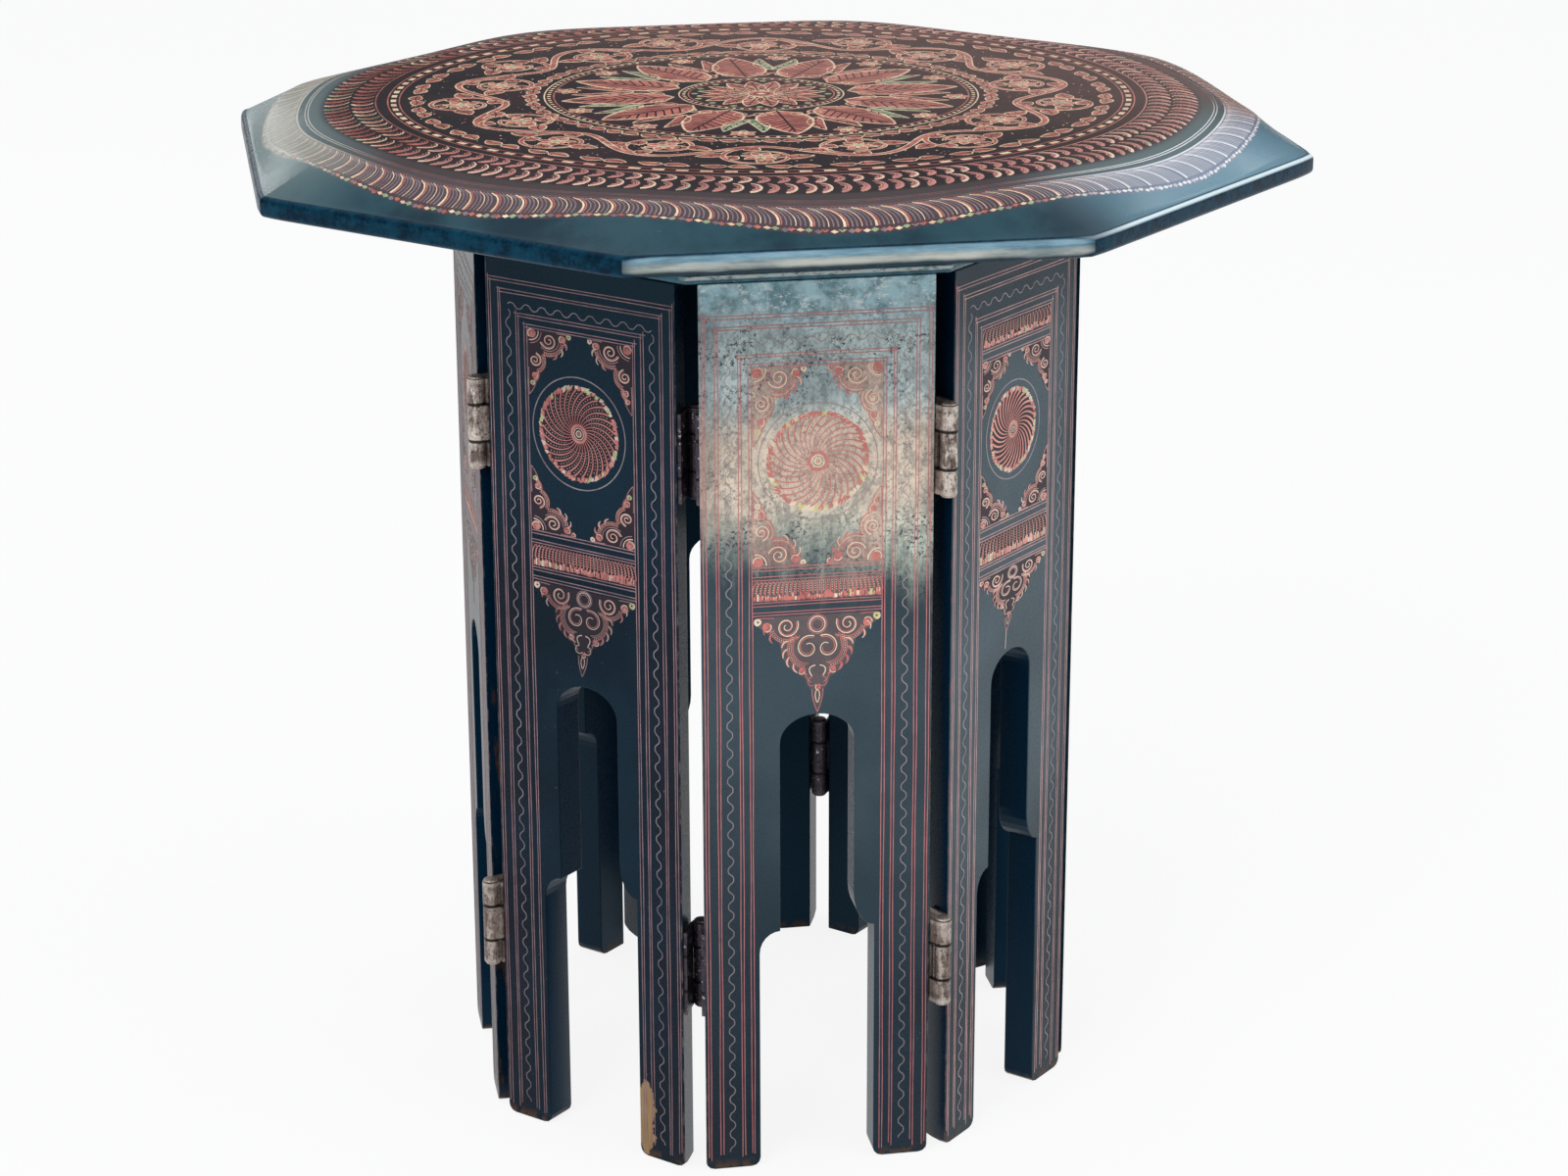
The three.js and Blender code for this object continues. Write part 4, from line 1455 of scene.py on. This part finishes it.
def dress(name, material, edge, whole_faces=False):
    """Gives a node its material and a small rounding of its edges.

    whole_faces joins the triangles of each flat face first, so that the rounding ends cleanly.
    """
    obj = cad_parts[name]
    obj.data.materials.clear()
    obj.data.materials.append(material)
    obj.modifiers.new("weld", "WELD").merge_threshold = 0.00001
    if whole_faces:
        merge = obj.modifiers.new("whole_faces", "DECIMATE")
        merge.decimate_type = "DISSOLVE"
        merge.angle_limit = radians(0.5)
    bevel = obj.modifiers.new("edges", "BEVEL")
    bevel.width = edge * MM
    bevel.segments = 2
    bevel.limit_method = "ANGLE"
    bevel.angle_limit = radians(32)


# Floor, world and lamps

FLOOR_GREY = (0.93, 0.93, 0.93, 1.0)
FLOOR_WHITE = 0.88


def add_floor():
    """A pale floor: mostly plain white as the camera and mirrors see it, with the shadow."""
    bpy.ops.mesh.primitive_circle_add(vertices=96, radius=90.0, fill_type="NGON")
    floor = bpy.context.object
    floor.name = "floor"
    floor.location.z = -0.0005
    s = Shading("floor", FLOOR_GREY, 0.1)
    s.shader.inputs["Base Color"].default_value = FLOOR_GREY
    s.shader.inputs["Roughness"].default_value = 0.9
    path = s.tree.nodes.new("ShaderNodeLightPath")
    seen = 0.0
    for ray in ("Is Camera Ray", "Is Transmission Ray", "Is Glossy Ray"):
        seen = s.math("MAXIMUM", Value(s, path.outputs[ray]), seen)
    white = s.node("Emission", 0, {"Strength": 1.0})
    plain = Value(s, s.shader.outputs[0])
    blend = s.node("MixShader", 0, {"Fac": seen * FLOOR_WHITE, 1: plain, 2: white})
    s.feed(s.tree.nodes["Material Output"].inputs["Surface"], blend)
    floor.data.materials.append(s.material)


# Each lamp's place, the place it aims at, the length of its sides, and its power
LAMPS = {
    "key": ((-1.9, -2.2, 2.6), (0, 0, 0.35), 1.8, 52.0),
    "fill": ((2.2, -1.6, 1.9), (0, 0, 0.3), 1.6, 20.0),
    "left_window": ((-0.9, 2.9, 1.22), (-0.2, 0, 0.55), (0.7, 0.5), 3.0),
    "right_window": ((2.1, 1.26, 1.82), (0.2, -0.2, 0.55), 0.3, 2.0),
}


def add_lamp(name, place, aim, size, power):
    data = bpy.data.lights.new(name, "AREA")
    data.shape = "RECTANGLE"
    data.size, data.size_y = size if isinstance(size, tuple) else (size, size)
    data.energy = power
    light = new_object(name, data)
    light.location = place
    light.rotation_euler = (Vector(aim) - Vector(place)).to_track_quat("-Z", "Y").to_euler()


def add_world():
    """Dim near the horizon and bright overhead, so that the tabletop keeps its colours."""
    world = bpy.data.worlds.new("studio")
    bpy.context.scene.world = world
    world.use_nodes = True
    nodes = world.node_tree.nodes
    links = world.node_tree.links
    coordinates = nodes.new("ShaderNodeTexCoord")
    split = nodes.new("ShaderNodeSeparateXYZ")
    ramp = nodes.new("ShaderNodeValToRGB")
    dim, bright = ramp.color_ramp.elements
    dim.position, dim.color = 0.3, (0.12, 0.13, 0.14, 1.0)
    bright.position, bright.color = 0.8, (0.95, 0.98, 1.0, 1.0)
    links.new(coordinates.outputs["Generated"], split.inputs[0])
    links.new(split.outputs["Z"], ramp.inputs["Fac"])
    links.new(ramp.outputs["Color"], nodes["Background"].inputs["Color"])
    nodes["Background"].inputs["Strength"].default_value = 0.9


bpy.context.scene.view_settings.view_transform = "Standard"
add_camera()
add_floor()
add_world()
for name, lamp in LAMPS.items():
    add_lamp(name, *lamp)

metals = {side: hinge_metal(side) for side in STEELS}
for index, side in enumerate(SIDE_NAMES):
    dress(f"{side}_panel", panel_lacquer(index), 0.9, whole_faces=True)
dress("top_frame", frame_lacquer(), 0.6)
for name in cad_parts:
    if "_hinge_" in name:
        dress(name, metals[hinge_side(name)], 0.25)
add_tabletop([field_lacquer(), rim_lacquer(), underside_lacquer(), side_lacquer()])
top_paints = paint_set("top", tabletop_painted_light)
draw_tabletop().piece("tabletop_engraving", "top", "top_lacquer", top_paints)
panel_paints = paint_set("panel", panel_veils)
# the front and front right panels get lighter copies of the paints, with painted light on them
paints_with_painted_light = {
    "front": paint_set("front", front_veils_and_glare),
    "front_right": paint_set("front_right", right_painted_shade),
}
for index, side in enumerate(SIDE_NAMES):
    paints = paints_with_painted_light.get(side, panel_paints)
    draw_panel(index).piece(f"{side}_panel_engraving", side, "panel_lacquer", paints)
add_screws(metals)
